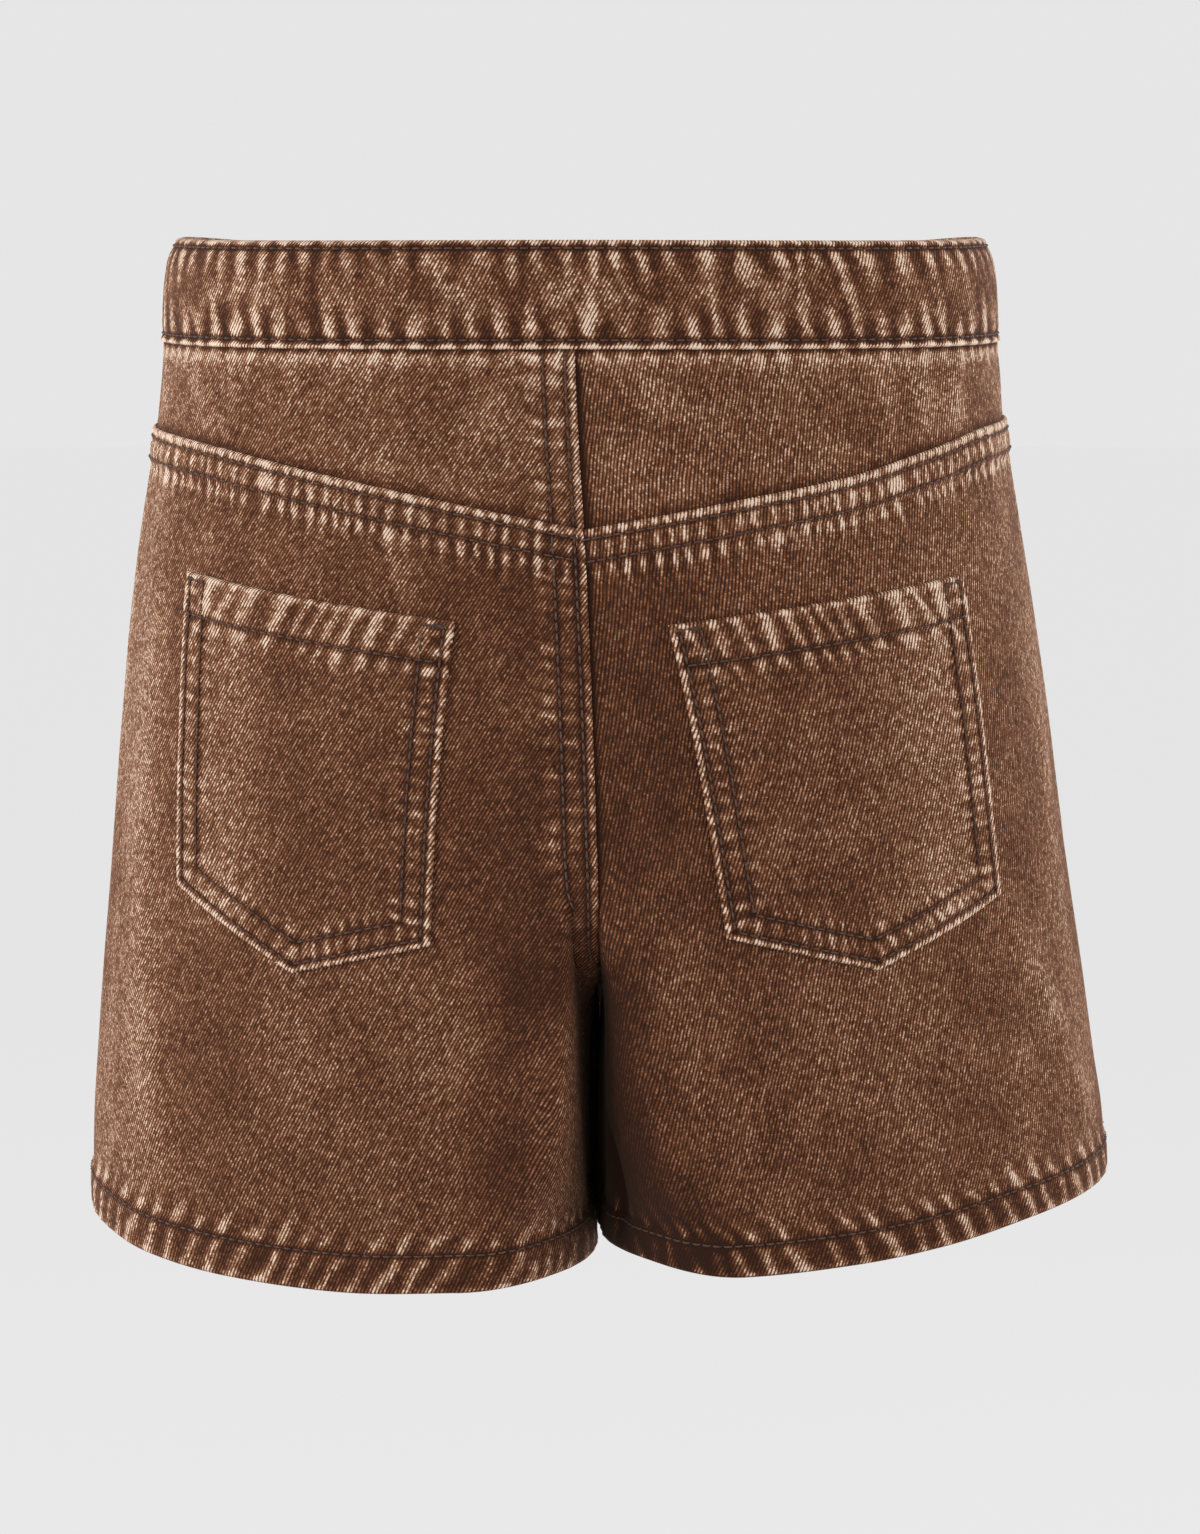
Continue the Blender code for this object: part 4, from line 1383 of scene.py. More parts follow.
@dataclass(kw_only=True)
class PatchPocket(Panel):
    """A patch pocket with five corners on a back panel.

    Attributes:
        corners: Its corners, as distance along the cloth and height: outer top, inner top, inner bottom,
            point and outer bottom.
    """

    corners: tuple[tuple[float, float], ...]

    MOUTH = Seam(
        rows=(14.2,), wall=FOLDED, depth=14.4, pitch=8.6, pucker=0.55, lean=0.25, reach=3.0,
        streak=0.56, plateau=0.08, rim=0.24, fringe=0.13, seed=41,
    )
    EDGE = Seam(
        rows=(3.2, 10.4), wall=2.1, depth=10.6, pitch=5.4, pucker=0.42, lean=0.2, reach=1.8,
        streak=0.5, plateau=0.05, rim=0.4, rim_width=1.1, fringe=0.06, seed=52,
    )

    # How far its reverse lies from the inside of the panel that carries it
    CARRIED = CLOTH + 0.25

    # The rows of the mouth are turned in
    turned_rows = (16, 0)

    # How far apart the rows and columns of its grid are, away from its edges
    GRID_STEP = (1.4, 2.0)

    # Its depth at a side, from which the places of the rows are worked out
    DEPTH = 118.0

    # Length of a bartack, and how far it starts from the corner, along the mouth and down
    BAR_LENGTH = 8.4
    BAR_START = (2.2, 2.3)

    @property
    def node(self) -> str:
        """The CAD node that it stands for."""
        return f"pocket_{self.quarter.side.name.lower()}"

    def spot(self, across: Array, down: Array) -> tuple[Array, Array]:
        """Finds a place of the pocket.

        Args:
            across: Share of the way from the outer side to the inner side.
            down: Share of the way from the top to the bottom.

        Returns:
            Distance along the cloth from the side seam, and height.
        """
        outer_top, inner_top, inner_low, point, outer_low = (np.array(corner) for corner in self.corners)
        across = across[..., None]
        top = outer_top + (inner_top - outer_top) * across
        outer_part = outer_low + (point - outer_low) * across * 2
        inner_part = point + (inner_low - point) * (across * 2 - 1)
        low = np.where(across < 0.5, outer_part, inner_part)
        found = top + (low - top) * down[..., None]
        return found[..., 0], found[..., 1]

    def way(self, start: Array, end: Array) -> tuple[Array, Array]:
        """Finds the direction of an edge from start to end, and the one that leads into the pocket."""
        run = np.subtract(end, start) / np.hypot(*np.subtract(end, start))
        inward = np.array([-run[1], run[0]])
        return run, inward * np.sign((np.mean(self.corners, axis=0) - start) @ inward)

    def edges(self, along: Array, height: Array) -> list[tuple[Array, Array]]:
        """Finds the way along each edge and the distance from it.

        Args:
            along: Distances along the cloth.
            height: Heights.

        Returns:
            Run and distance for the mouth, inner side, inner bottom, outer bottom and outer side.
        """
        found = []
        for start, end in zip(self.corners, self.corners[1:] + self.corners[:1]):
            x, y = along - start[0], height - start[1]
            found.append(tuple(x * way[0] + y * way[1] for way in self.way(start, end)))
        return found

    def surface(self, along: Array, height: Array) -> Surface:
        """Finds the cloth at places of the pocket.

        Args:
            along: Distances from the side seam.
            height: Heights.

        Returns:
            The cloth there.
        """
        mouth, *others = self.edges(along, height)
        relief, wear = self.MOUTH.press(*mouth)
        wall = self.MOUTH.thickness(mouth[1])
        rounding = roll(mouth[1], 1.2)
        below = smooth((mouth[1] - 1.5) / 4)
        nearest = np.min([distance for _, distance in others], axis=0)
        for run, distance in others:
            edge_relief, edge_wear = self.EDGE.press(run + 100, distance)
            owns = smooth((nearest - distance + 2.5) / 2.5)
            in_mouth = 1 - 0.75 * (1 - smooth((mouth[1] - 13) / 3)) * smooth((distance - 5) / 3)
            relief = relief + edge_relief * owns * in_mouth
            wear = wear + edge_wear * owns * in_mouth * (0.35 + 0.65 * below)
            wall = np.maximum(wall, self.EDGE.thickness(distance))
            rounding = rounding * roll(distance, 1.2)
        clouds = patches(along / 24 + 5, height / 30 + 77, self.seed + 13) - 0.5
        wear = wear + 0.36 + 0.14 * clouds - 0.001 * (along - 70) + 0.1 * bell(others[3][1] - 24, 16)
        outer = self.CARRIED + (wall - 0.35) * (0.2 + 0.8 * rounding) + relief * rounding
        inner = np.full_like(outer, self.CARRIED)
        return self.quarter.cloth(height, along, outer, inner, wear)

    def inset(self, distance: float) -> list[tuple[Array, Array]]:
        """Finds the lines at a distance inside the sides and bottom, which start just under the mouth's edge.

        Args:
            distance: Distance from the edges.

        Returns:
            Ends of each line, from the outer top down, round the point and up to the inner top.
        """
        points = np.array(self.corners)
        loop = points[[0, 4, 3, 2, 1]]
        lines = []
        for start, end in zip(loop[:-1], loop[1:]):
            run, inward = self.way(start, end)
            lines.append((start + inward * distance, run))
        mouth, _ = self.way(points[0], points[1])
        under = points[0] - np.array([0, 1.6])
        chain = [(under, mouth), *lines, (under, mouth)]
        corners = []
        for (a, u), (b, v) in zip(chain[:-1], chain[1:]):
            steps = np.linalg.solve(np.stack([u, -v], axis=1), b - a)
            corners.append(a + u * steps[0])
        return list(zip(corners[:-1], corners[1:]))

    def line(self, start: Array, end: Array) -> Surface:
        """Finds the cloth along a straight line on the pocket.

        Args:
            start: Distance along the cloth, and height, of its first end.
            end: The same of its other end.

        Returns:
            The cloth along the line.
        """
        share = np.linspace(0, 1, 90)[:, None]
        spots = start + (end - start) * share
        return self.surface(spots[:, 0], spots[:, 1])

    def lay(self) -> Surface:
        """The cloth at the pocket's grid."""
        width = self.corners[1][0] - self.corners[0][0]
        side = near_edge(13.0) / width
        half = fine(side[-1], 0.5, self.GRID_STEP[0] / width)[1:]
        across = np.concatenate([side, half, 1 - np.concatenate([side, half[:-1]])[::-1]])
        top, low = near_edge(19.0) / self.DEPTH, near_edge(15.0) / self.DEPTH
        inner = fine(top[-1], 1 - low[-1], self.GRID_STEP[1] / self.DEPTH)[1:-1]
        down = np.concatenate([top, inner, 1 - low[::-1]])
        return self.surface(*self.spot(*np.meshgrid(across, down)))

    def sew(self) -> None:
        """Adds the stitch rows and the bartacks at the mouth's ends."""
        for row in self.EDGE.rows:
            for start, end in self.inset(row):
                self.sewing.row(self.line(start, end))
        outer_top, inner_top = np.array(self.corners[0]), np.array(self.corners[1])
        drop = np.array([0, -self.MOUTH.rows[0]])
        run = (inner_top - outer_top) / np.hypot(*(inner_top - outer_top))
        self.sewing.row(self.line(outer_top + drop + run * 2.5, inner_top + drop - run * 2.5))
        aside, down = self.BAR_START
        for corner, way in ((outer_top, run), (inner_top, -run)):
            start = corner + way * aside - np.array([0, down])
            path = self.line(start, start + way * self.BAR_LENGTH)
            points = path.face_points
            self.sewing.bar(points[0], points[-1], path.out[len(points) // 2])


@dataclass(kw_only=True)
class WrapSkirt(Panel):
    """The skirt panel, from its free edge at the wearer's left front to the right side seam.

    The first number of its creases is a distance from the free edge.
    """

    HEM = Seam(
        rows=(13.6,), wall=FOLDED, depth=14.6, pitch=9.5, pucker=0.6, lean=-0.2, reach=5.0, streak=0.75,
        plateau=0.04, rim=0.2, fringe=0.2, seed=61,
    )
    FREE = Seam(
        rows=(3.4, 10.6), wall=FOLDED, depth=11.4, pitch=6.0, pucker=0.5, lean=0.1, reach=2.6, streak=0.6,
        plateau=0.06, rim=0.4, fringe=0.1, seed=67,
    )
    BAND = replace(GATHERED, seed=71)

    # How far the rows of its grid are close together, below the top and above the hem
    TOP_BAND = 20.0
    HEM_BAND = 21.0

    node = "skirt_front"

    def __post_init__(self) -> None:
        """Makes its two quarters and its columns."""
        self.left, self.right = self.quarter, Quarter(Side.RIGHT, Face.FRONT, legs=False)
        free = near_edge(13.0) / float(self.left.length(HIP_LEVEL))
        inner = fine(SKIRT_EDGE + free[-1], 1.0, 1.6 / 220)[1:]
        self.left_shares = np.concatenate([SKIRT_EDGE + free, inner])
        self.right_shares = fine(1.0, 0.0, 1.6 / 220)[1:]
        self.turned_rows = (0, len(near_edge(self.HEM.depth)) - 1)

    def hem_line(self, side: Side, share: Array) -> Array:
        """Height of the hem's edge."""
        at_side = float(through(HEM_EDGE[side], 0.0)[1])
        return at_side + (SKIRT_HEM_CENTRE - at_side) * smooth(share * 1.6)

    def surface(self, side: Side, height: Array, share: Array) -> Surface:
        """Finds the cloth at places of one of its two quarters.

        Args:
            side: Side of the wearer.
            height: Heights.
            share: Shares of the way from the side seam to the centre front.

        Returns:
            The cloth there.
        """
        quarter = self.left if side == Side.LEFT else self.right
        height, share = np.broadcast_arrays(np.asarray(height, float), np.asarray(share, float))
        total = quarter.length(height)
        along = np.maximum(share * total, SEAM_GAP / 2)
        if side == Side.LEFT:
            run = along - SKIRT_EDGE * total
        else:
            run = (1 - SKIRT_EDGE) * self.left.length(height) + total - along
        from_hem = height - self.hem_line(side, share)
        from_top = band_edge(Face.FRONT, share) - height
        relief, wear = self.HEM.press(run, from_hem)
        band_relief, band_wear = self.BAND.press(run, from_top + 1.0)
        relief, wear = relief + band_relief, wear + band_wear
        # A rubbed line 4 mm under the waistband, and painted shadow right under the band's edge
        wear = wear + 0.18 * bell(from_top - 4.0, 2.2) - 0.35 * bell(from_top, 1.3)
        wall = self.HEM.thickness(from_hem)
        rounding = roll(from_hem, 1.2)
        if side == Side.LEFT:
            free_relief, free_wear = self.FREE.press(-height, run)
            relief, wear = relief + free_relief, wear + free_wear
            wall = np.maximum(wall, self.FREE.thickness(run))
            rounding = rounding * roll(run, 1.2)
        else:
            rounding = rounding * (0.5 + 0.5 * roll(along, 0.9))
            wear = wear + 0.16 * np.exp(-along / 28) + 0.1 * bell(along - 36, 9)
        fold, crease_wear_and_shade = folds(self.creases, run, height)
        relief, wear = relief + fold, wear + crease_wear_and_shade
        clouds = patches(run / 26 + 3, height / 44 + 50, self.seed + 17) - 0.5
        wear = wear + 0.34 + 0.14 * clouds + 0.1 * bell(run - 75, 60) * bell(height + 150, 120)
        tucked = smooth((from_top + 0.5) / 1.5)
        outer = wall * (0.45 + 0.55 * rounding) + relief * rounding * tucked
        inner = 0.35 * FOLDED * (1 - roll(from_hem, 0.9))
        middle = 0.0 if side == Side.RIGHT else 2 * float(self.right.length(HIP_LEVEL))
        return quarter.cloth(height, along, outer, inner, wear, middle)

    def half(self, side: Side, share: Array) -> Surface:
        """Finds the cloth at the grid of one quarter.

        Args:
            side: Side of the wearer.
            share: Shares of the way to the centre front, one for each column.

        Returns:
            The cloth there.
        """
        top = band_edge(Face.FRONT, share) + LAP
        hem = self.hem_line(side, share)
        first, low = top - self.TOP_BAND, hem + self.HEM_BAND
        rows = [top - step for step in fine(0, self.TOP_BAND, 1.6)]
        rows += [first + (low - first) * step for step in fine(0, 1, 3.6 / 285)[1:]]
        rows += [hem + step for step in near_edge(self.HEM_BAND)[-2::-1]]
        height = np.array(rows)
        return self.surface(side, height, np.broadcast_to(share, height.shape))

    def lay(self) -> Surface:
        """The cloth at the grid of both quarters."""
        halves = ((Side.LEFT, self.left_shares), (Side.RIGHT, self.right_shares))
        return Surface.joined([self.half(*half) for half in halves])

    def sew(self) -> None:
        """Adds the stitch rows of the hem and of the free edge."""
        ways = {Side.LEFT: np.linspace(SKIRT_EDGE + 0.004, 1, 160), Side.RIGHT: np.linspace(1, 0.004, 260)}
        for row in self.HEM.rows:
            parts = [self.surface(side, self.hem_line(side, way) + row, way) for side, way in ways.items()]
            self.sewing.row(Surface.joined(parts))
        top = float(band_edge(Face.FRONT, SKIRT_EDGE)) - 1
        low = float(self.hem_line(Side.LEFT, SKIRT_EDGE)) + 2
        height = np.linspace(top, low, 300)
        for row in self.FREE.rows:
            share = SKIRT_EDGE + row / self.left.length(height)
            self.sewing.row(self.surface(Side.LEFT, height, share))


class Stretch(NamedTuple):
    """A stretch of the waistband in one quarter.

    shares are shares of the way from the side seam to the centre, runs the distances along the band, and
    beneath says whether it runs in under the end that laps it.
    """

    side: Side
    face: Face
    shares: Array
    runs: Array
    beneath: bool


@dataclass(kw_only=True)
class Waistband(Panel):
    """The waistband: one folded strip that starts under its own end at the wearer's left front."""

    LOWER = Seam(
        rows=(3.3,), wall=BAND_WALL, depth=0.0, pitch=10.2, pucker=0.62, lean=0.12, reach=8.5, streak=1.2,
        sharp=1.6, rim=0.75, rim_width=0.9, fringe=0.0, groove=0.4, seed=83,
    )
    UPPER = Seam(
        rows=(2.7,), wall=BAND_WALL, depth=0.0, pitch=10.2, pucker=0.55, lean=-0.16, reach=7.5, streak=1.05,
        sharp=1.6, rim=0.1, rim_width=0.8, fringe=0.0, groove=0.4, seed=97,
    )
    # Distances between two columns, and between two rows away from the edges
    STEP = 1.45
    ROW_STEP = 1.1

    # Height at which its length is measured
    LEVEL = -5.0

    # Ends of the buttonhole, as shares of the way to the centre on either side of the button
    BUTTONHOLE = (-0.062, 0.012)

    node = "waistband"

    def __post_init__(self) -> None:
        """Makes its four quarters, the way round them and its rows."""
        self.loops = {(side, face): Quarter(side, face, legs=False) for side in Side for face in Face}
        plan = (
            (Side.LEFT, Face.FRONT, BAND_UNDER_END, 0.0, True),
            (Side.LEFT, Face.BACK, 0.0, 1.0, False),
            (Side.RIGHT, Face.BACK, 1.0, 0.0, False),
            (Side.RIGHT, Face.FRONT, 0.0, 1.0, False),
            (Side.LEFT, Face.FRONT, 1.0, BAND_TOP_END, False),
        )
        self.stretches: list[Stretch] = []
        self.total = 0.0
        for side, face, start, end, beneath in plan:
            length = float(self.loops[side, face].length(self.LEVEL))
            shares = fine(start, end, self.STEP / length)
            runs = self.total + np.abs(shares - start) * length
            self.total = float(runs[-1])
            # Two stretches share the column where they meet
            first = 1 if self.stretches else 0
            self.stretches.append(Stretch(side, face, shares[first:], runs[first:], beneath))
        edge = near_edge(5.0)
        inner = fine(5.0, BAND_HEIGHT - 5.0, self.ROW_STEP)[1:-1]
        self.rows = np.concatenate([edge, inner, BAND_HEIGHT - edge[::-1]])
        # The band is folded in half
        self.turned_rows = (len(self.rows), 0)

    def surface(self, stretch: Stretch, up: float | Array) -> Surface:
        """Finds the cloth of one stretch of the band.

        Args:
            stretch: The stretch.
            up: Distances up from the lower edge.

        Returns:
            The cloth there.
        """
        side, face, shares, runs, beneath = stretch
        quarter = self.loops[side, face]
        up, share = np.broadcast_arrays(up, shares)
        run = np.broadcast_to(runs, share.shape)
        height = band_edge(face, share) + up
        along = share * quarter.length(height)
        sunk = smooth((share - 0.12) / 0.35) * (BAND_WALL + 1.2) if beneath else np.zeros_like(share)
        out = quarter.outward(height, along) * (1, 1, 0)
        out = out / np.linalg.norm(out, axis=-1, keepdims=True)
        base = quarter.place(height, along) - out * (BAND_INSET + sunk)[..., None]
        down = BAND_HEIGHT - up
        low_relief, low_wear = self.LOWER.press(run, up)
        high_relief, high_wear = self.UPPER.press(run + 4.0, down)
        wall = BAND_WALL + 0.55 * bell(up - 1.2, 1.3) + 0.2 * bell(down - 1.0, 1.4)
        waves = patches(run / 8.5, up / 9.5, 91)
        middle = bell(up - BAND_HEIGHT / 2, 9.0)
        relief = low_relief + high_relief + 0.35 * (waves - 0.5) * middle
        wear = 0.34 + low_wear + high_wear + 0.5 * (waves - 0.52) * middle
        wear = wear + 0.3 * bell(down - 0.2, 1.1)
        from_side = np.minimum(share * quarter.length(self.LEVEL), 60.0)
        wear = wear + 0.1 * np.exp(-from_side / 16)
        clear = np.minimum(run, self.total - run)
        wear = wear + 0.35 * bell(clear - 1.2, 1.2)
        rounding = roll(up, 1.1) * roll(down, 1.1) * roll(clear, 1.3)
        outer = wall * (0.5 + 0.5 * rounding) + relief * rounding
        inner = BAND_WALL * 0.28 * (1 - roll(up, 0.9) * roll(down, 1.0))
        grain = np.stack([run, up], axis=-1)
        return Surface(base, out, outer, inner, wear, grain)

    def ring(self, up: float | Array) -> Surface:
        """The cloth all the way round, at distances up from the lower edge."""
        return Surface.joined([self.surface(stretch, up) for stretch in self.stretches])

    def lay(self) -> Surface:
        """The cloth at the band's grid."""
        return self.ring(self.rows[:, None])

    def sew(self) -> None:
        """Adds the stitch rows of both edges and of the end that laps, and the buttonhole."""
        for up in (self.LOWER.rows[0], BAND_HEIGHT - self.UPPER.rows[0]):
            self.sewing.row(self.ring(up))
        last = self.stretches[-1]
        end = last._replace(shares=last.shares[-3], runs=last.runs[-3])
        self.sewing.row(self.surface(end, np.linspace(4.5, BAND_HEIGHT - 4.0, 40)))
        self.buttonhole(last)

    def buttonhole(self, stretch: Stretch) -> None:
        """Adds the dense stitches round the buttonhole, which runs from the button to the lapping end.

        Args:
            stretch: The stretch that it lies in.
        """
        start, end = self.BUTTONHOLE
        share = np.linspace(BUTTON_PLACE + start, BUTTON_PLACE + end, 46)
        line = stretch._replace(shares=share, runs=np.interp(share, stretch.shares[::-1], stretch.runs[::-1]))
        for way in (1, -1):
            near = self.surface(line, BAND_HEIGHT / 2 + way * 0.385)
            far = self.surface(line, BAND_HEIGHT / 2 + way * 2.6)
            self.sewing.add(near.face_points, far.face_points, near.out, THREAD_RADIUS * 0.75)


@dataclass
class ShankButton:
    """A shank button of stamped metal, turned about its own axis.

    Attributes:
        quarter: The quarter of the garment that it is sewn on.
        radius: Radius of its cap.
        height: Height from the cloth to the top of its rim.
        dish: How deep its face lies under the rim.
    """

    quarter: Quarter
    radius: float = 8.5
    height: float = 4.1
    dish: float = 0.7

    # Corners of a ring of its mesh
    SIDES = 64

    def profile(self) -> list[tuple[float, float]]:
        """Radius and height of each point of its outline, from the middle of the face to the foot."""
        radius, top = self.radius, self.height
        middle = radius * 0.42
        crown = [(r, top - self.dish + 0.55 * (1 - (r / middle) ** 2)) for r in fine(0, middle, 0.6)]
        # Share of the radius, and height
        shares = (
            (0.47, top - self.dish - 0.08), (0.74, top - self.dish - 0.05), (0.79, top - 0.25),
            (0.84, top - 0.02), (0.90, top), (0.96, top - 0.22), (1.0, top - 0.8), (0.995, top - 1.5),
            (0.95, top - 2.2), (0.86, BUTTON_SHANK + 0.15), (0.80, BUTTON_SHANK),
        )
        ring = [(radius * share, height) for share, height in shares]
        ring += [(2.9, BUTTON_SHANK), (2.8, 0.0), (0.0, 0.0)]
        return crown + ring

    def make(self, brass: Material) -> list[Object]:
        """Builds the button where the frame has it.

        Args:
            brass: Its finish.

        Returns:
            Its pieces.
        """
        height = float(waist_height(Face.FRONT, BUTTON_PLACE))
        along = BUTTON_PLACE * float(self.quarter.length(height))
        out = self.quarter.outward(height, along)
        foot = self.quarter.place(height, along) + out * (BAND_WALL - BAND_INSET + LAYER_GAP)
        outline = self.profile()
        sides, rings = self.SIDES, len(outline) - 2
        turn = 2 * np.pi * np.arange(sides) / sides
        points = [(r * math.cos(a), r * math.sin(a), z) for r, z in outline[1:-1] for a in turn]
        points += [(0, 0, outline[0][1]), (0, 0, outline[-1][1])]
        faces = []
        for ring in range(rings - 1):
            for i in range(sides):
                a, b = ring * sides + i, ring * sides + (i + 1) % sides
                faces.append((a, a + sides, b + sides, b))
        top, low, last = rings * sides, rings * sides + 1, (rings - 1) * sides
        faces += [(top, i, (i + 1) % sides) for i in range(sides)]
        faces += [(low, last + (i + 1) % sides, last + i) for i in range(sides)]
        data = new_mesh("brass_button", np.array(points), faces, brass)
        piece = add_piece("brass_button", data, Vector(foot) * MM, Vector(out))
        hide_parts("waist_button")
        return [piece]


def linear(code: str) -> tuple[float, float, float, float]:
    """Turns an sRGB hex colour into linear values with full opacity."""
    values = [int(code.lstrip("#")[i : i + 2], 16) / 255 for i in (0, 2, 4)]
    return (*(v / 12.92 if v <= 0.04045 else ((v + 0.055) / 1.055) ** 2.4 for v in values), 1.0)


def connect(tree: NodeTree, node: Node, inputs: dict) -> None:
    """Fills the inputs of a node.

    Args:
        tree: The material's node tree.
        node: The node.
        inputs: Value or socket for each input, by name or number.
    """
    for name, value in inputs.items():
        if isinstance(value, NodeSocket):
            tree.links.new(value, node.inputs[name])
        else:
            node.inputs[name].default_value = value


def add_node(
    tree: NodeTree,
    kind: str,
    inputs: dict | None = None,
    stops: tuple[tuple[float, str], ...] = (),
    **settings,
) -> Node:
    """Adds a node with its settings and links.

    Args:
        tree: The material's node tree.
        kind: Type of the node.
        inputs: Value or socket for each input, by name or number.
        stops: Places and colours of its ramp, if it has one.
        **settings: Properties of the node.

    Returns:
        The node.
    """
    made = tree.nodes.new(kind)
    for name, value in settings.items():
        setattr(made, name, value)
    connect(tree, made, inputs or {})
    if stops:
        ramp = made.color_ramp.elements
        while len(ramp) < len(stops):
            ramp.new(0.5)
        for element, (position, code) in zip(ramp, stops):
            element.position = position
            element.color = linear(code)
    return made


def new_material(name: str) -> tuple[Material, NodeTree, Node]:
    """Makes a material.

    Args:
        name: Its name.

    Returns:
        The material, its node tree and its shader.
    """
    material = bpy.data.materials.new(name)
    material.use_nodes = True
    return material, material.node_tree, material.node_tree.nodes["Principled BSDF"]


# Noises laid along the twill lines: width and length of their grains in mm, number of finer octaves, and
# a shift that tells them apart. Uneven weaving moves the lines and stretches the floats, uneven yarn makes
# streaks and patches, and the wash makes a haze.
GRAINS = {
    "drift": (9.0, 14.0, 2.0, 0.0),
    "slub": (1.6, 2.4, 1.0, 6.0),
    "yarn": (0.8, 3.2, 3.0, 4.0),
    "clump": (2.2, 3.0, 3.0, 9.0),
    "haze": (14.0, 18.0, 3.0, 17.0),
}

# How the rubbed dye at a point, painted shade included, becomes its shade on the ramp and its height. Each
# step has the name of what it finds, what it does, and its values: numbers, or names of earlier finds, of
# noises and of the finish's own values.
WEAVE = (
    # Across the twill lines: the number of the line, and how near its top
    ("drift", "SUBTRACT", "drift", 0.5),
    ("drift", "MULTIPLY", "drift", 1.3),
    ("place", "ADD", "across", "drift"),
    ("place", "DIVIDE", "place", TWILL_PITCH),
    ("number", "FLOOR", "place"),
    ("line", "FRACT", "place"),
    ("line", "MULTIPLY", "line", math.pi),
    ("line", "SINE", "line"),
    ("line", "POWER", "line", 1.7),
    # Along them: each float of the warp is a bead, and the next line's are moved on by half of one
    ("down", "DIVIDE", "along", FLOAT_PITCH),
    ("down", "MULTIPLY_ADD", "slub", 2.2, "down"),
    ("down", "MULTIPLY_ADD", "number", 0.46, "down"),
    ("bead", "FRACT", "down"),
    ("bead", "MULTIPLY", "bead", math.pi),
    ("bead", "SINE", "bead"),
    ("bead", "MULTIPLY_ADD", "bead", 0.3, 0.7),
    ("bead", "MULTIPLY", "line", "bead"),
    # Chance says how far each float is rubbed
    ("float", "FLOOR", "down"),
    ("float", "JOIN", "number", "float"),
    ("fleck", "CHANCE", "float"),
    ("fleck", "POWER", "fleck", 1.4),
    ("fleck", "SUBTRACT", "fleck", 0.42),
    ("fleck", "MULTIPLY", "fleck", "bead"),
    # All of it shows more where the cloth is worn
    ("weave", "SUBTRACT", "bead", 0.46),
    ("weave", "MULTIPLY", "weave", "contrast"),
    ("weave", "MULTIPLY_ADD", "fleck", "flecks", "weave"),
    ("streak", "SUBTRACT", "yarn", 0.5),
    ("weave", "MULTIPLY_ADD", "streak", "yarns", "weave"),
    ("clump", "SUBTRACT", "clump", 0.5),
    ("weave", "MULTIPLY_ADD", "clump", "clumps", "weave"),
    ("strength", "MULTIPLY_ADD", "wear", 1.25, 0.35),
    ("shade", "MULTIPLY_ADD", "weave", "strength", "wear"),
    ("haze", "SUBTRACT", "haze", 0.5),
    ("shade", "MULTIPLY_ADD", "haze", "cloud", "shade"),
    ("shade", "ADD", "shade", "bias"),
    ("height", "MULTIPLY_ADD", "yarn", 0.6, "bead"),
)

# Nodes of the steps that are no sum
OTHER_STEPS = {
    "JOIN": ("ShaderNodeCombineXYZ", {}),
    "CHANCE": ("ShaderNodeTexWhiteNoise", {"noise_dimensions": "2D"}),
}


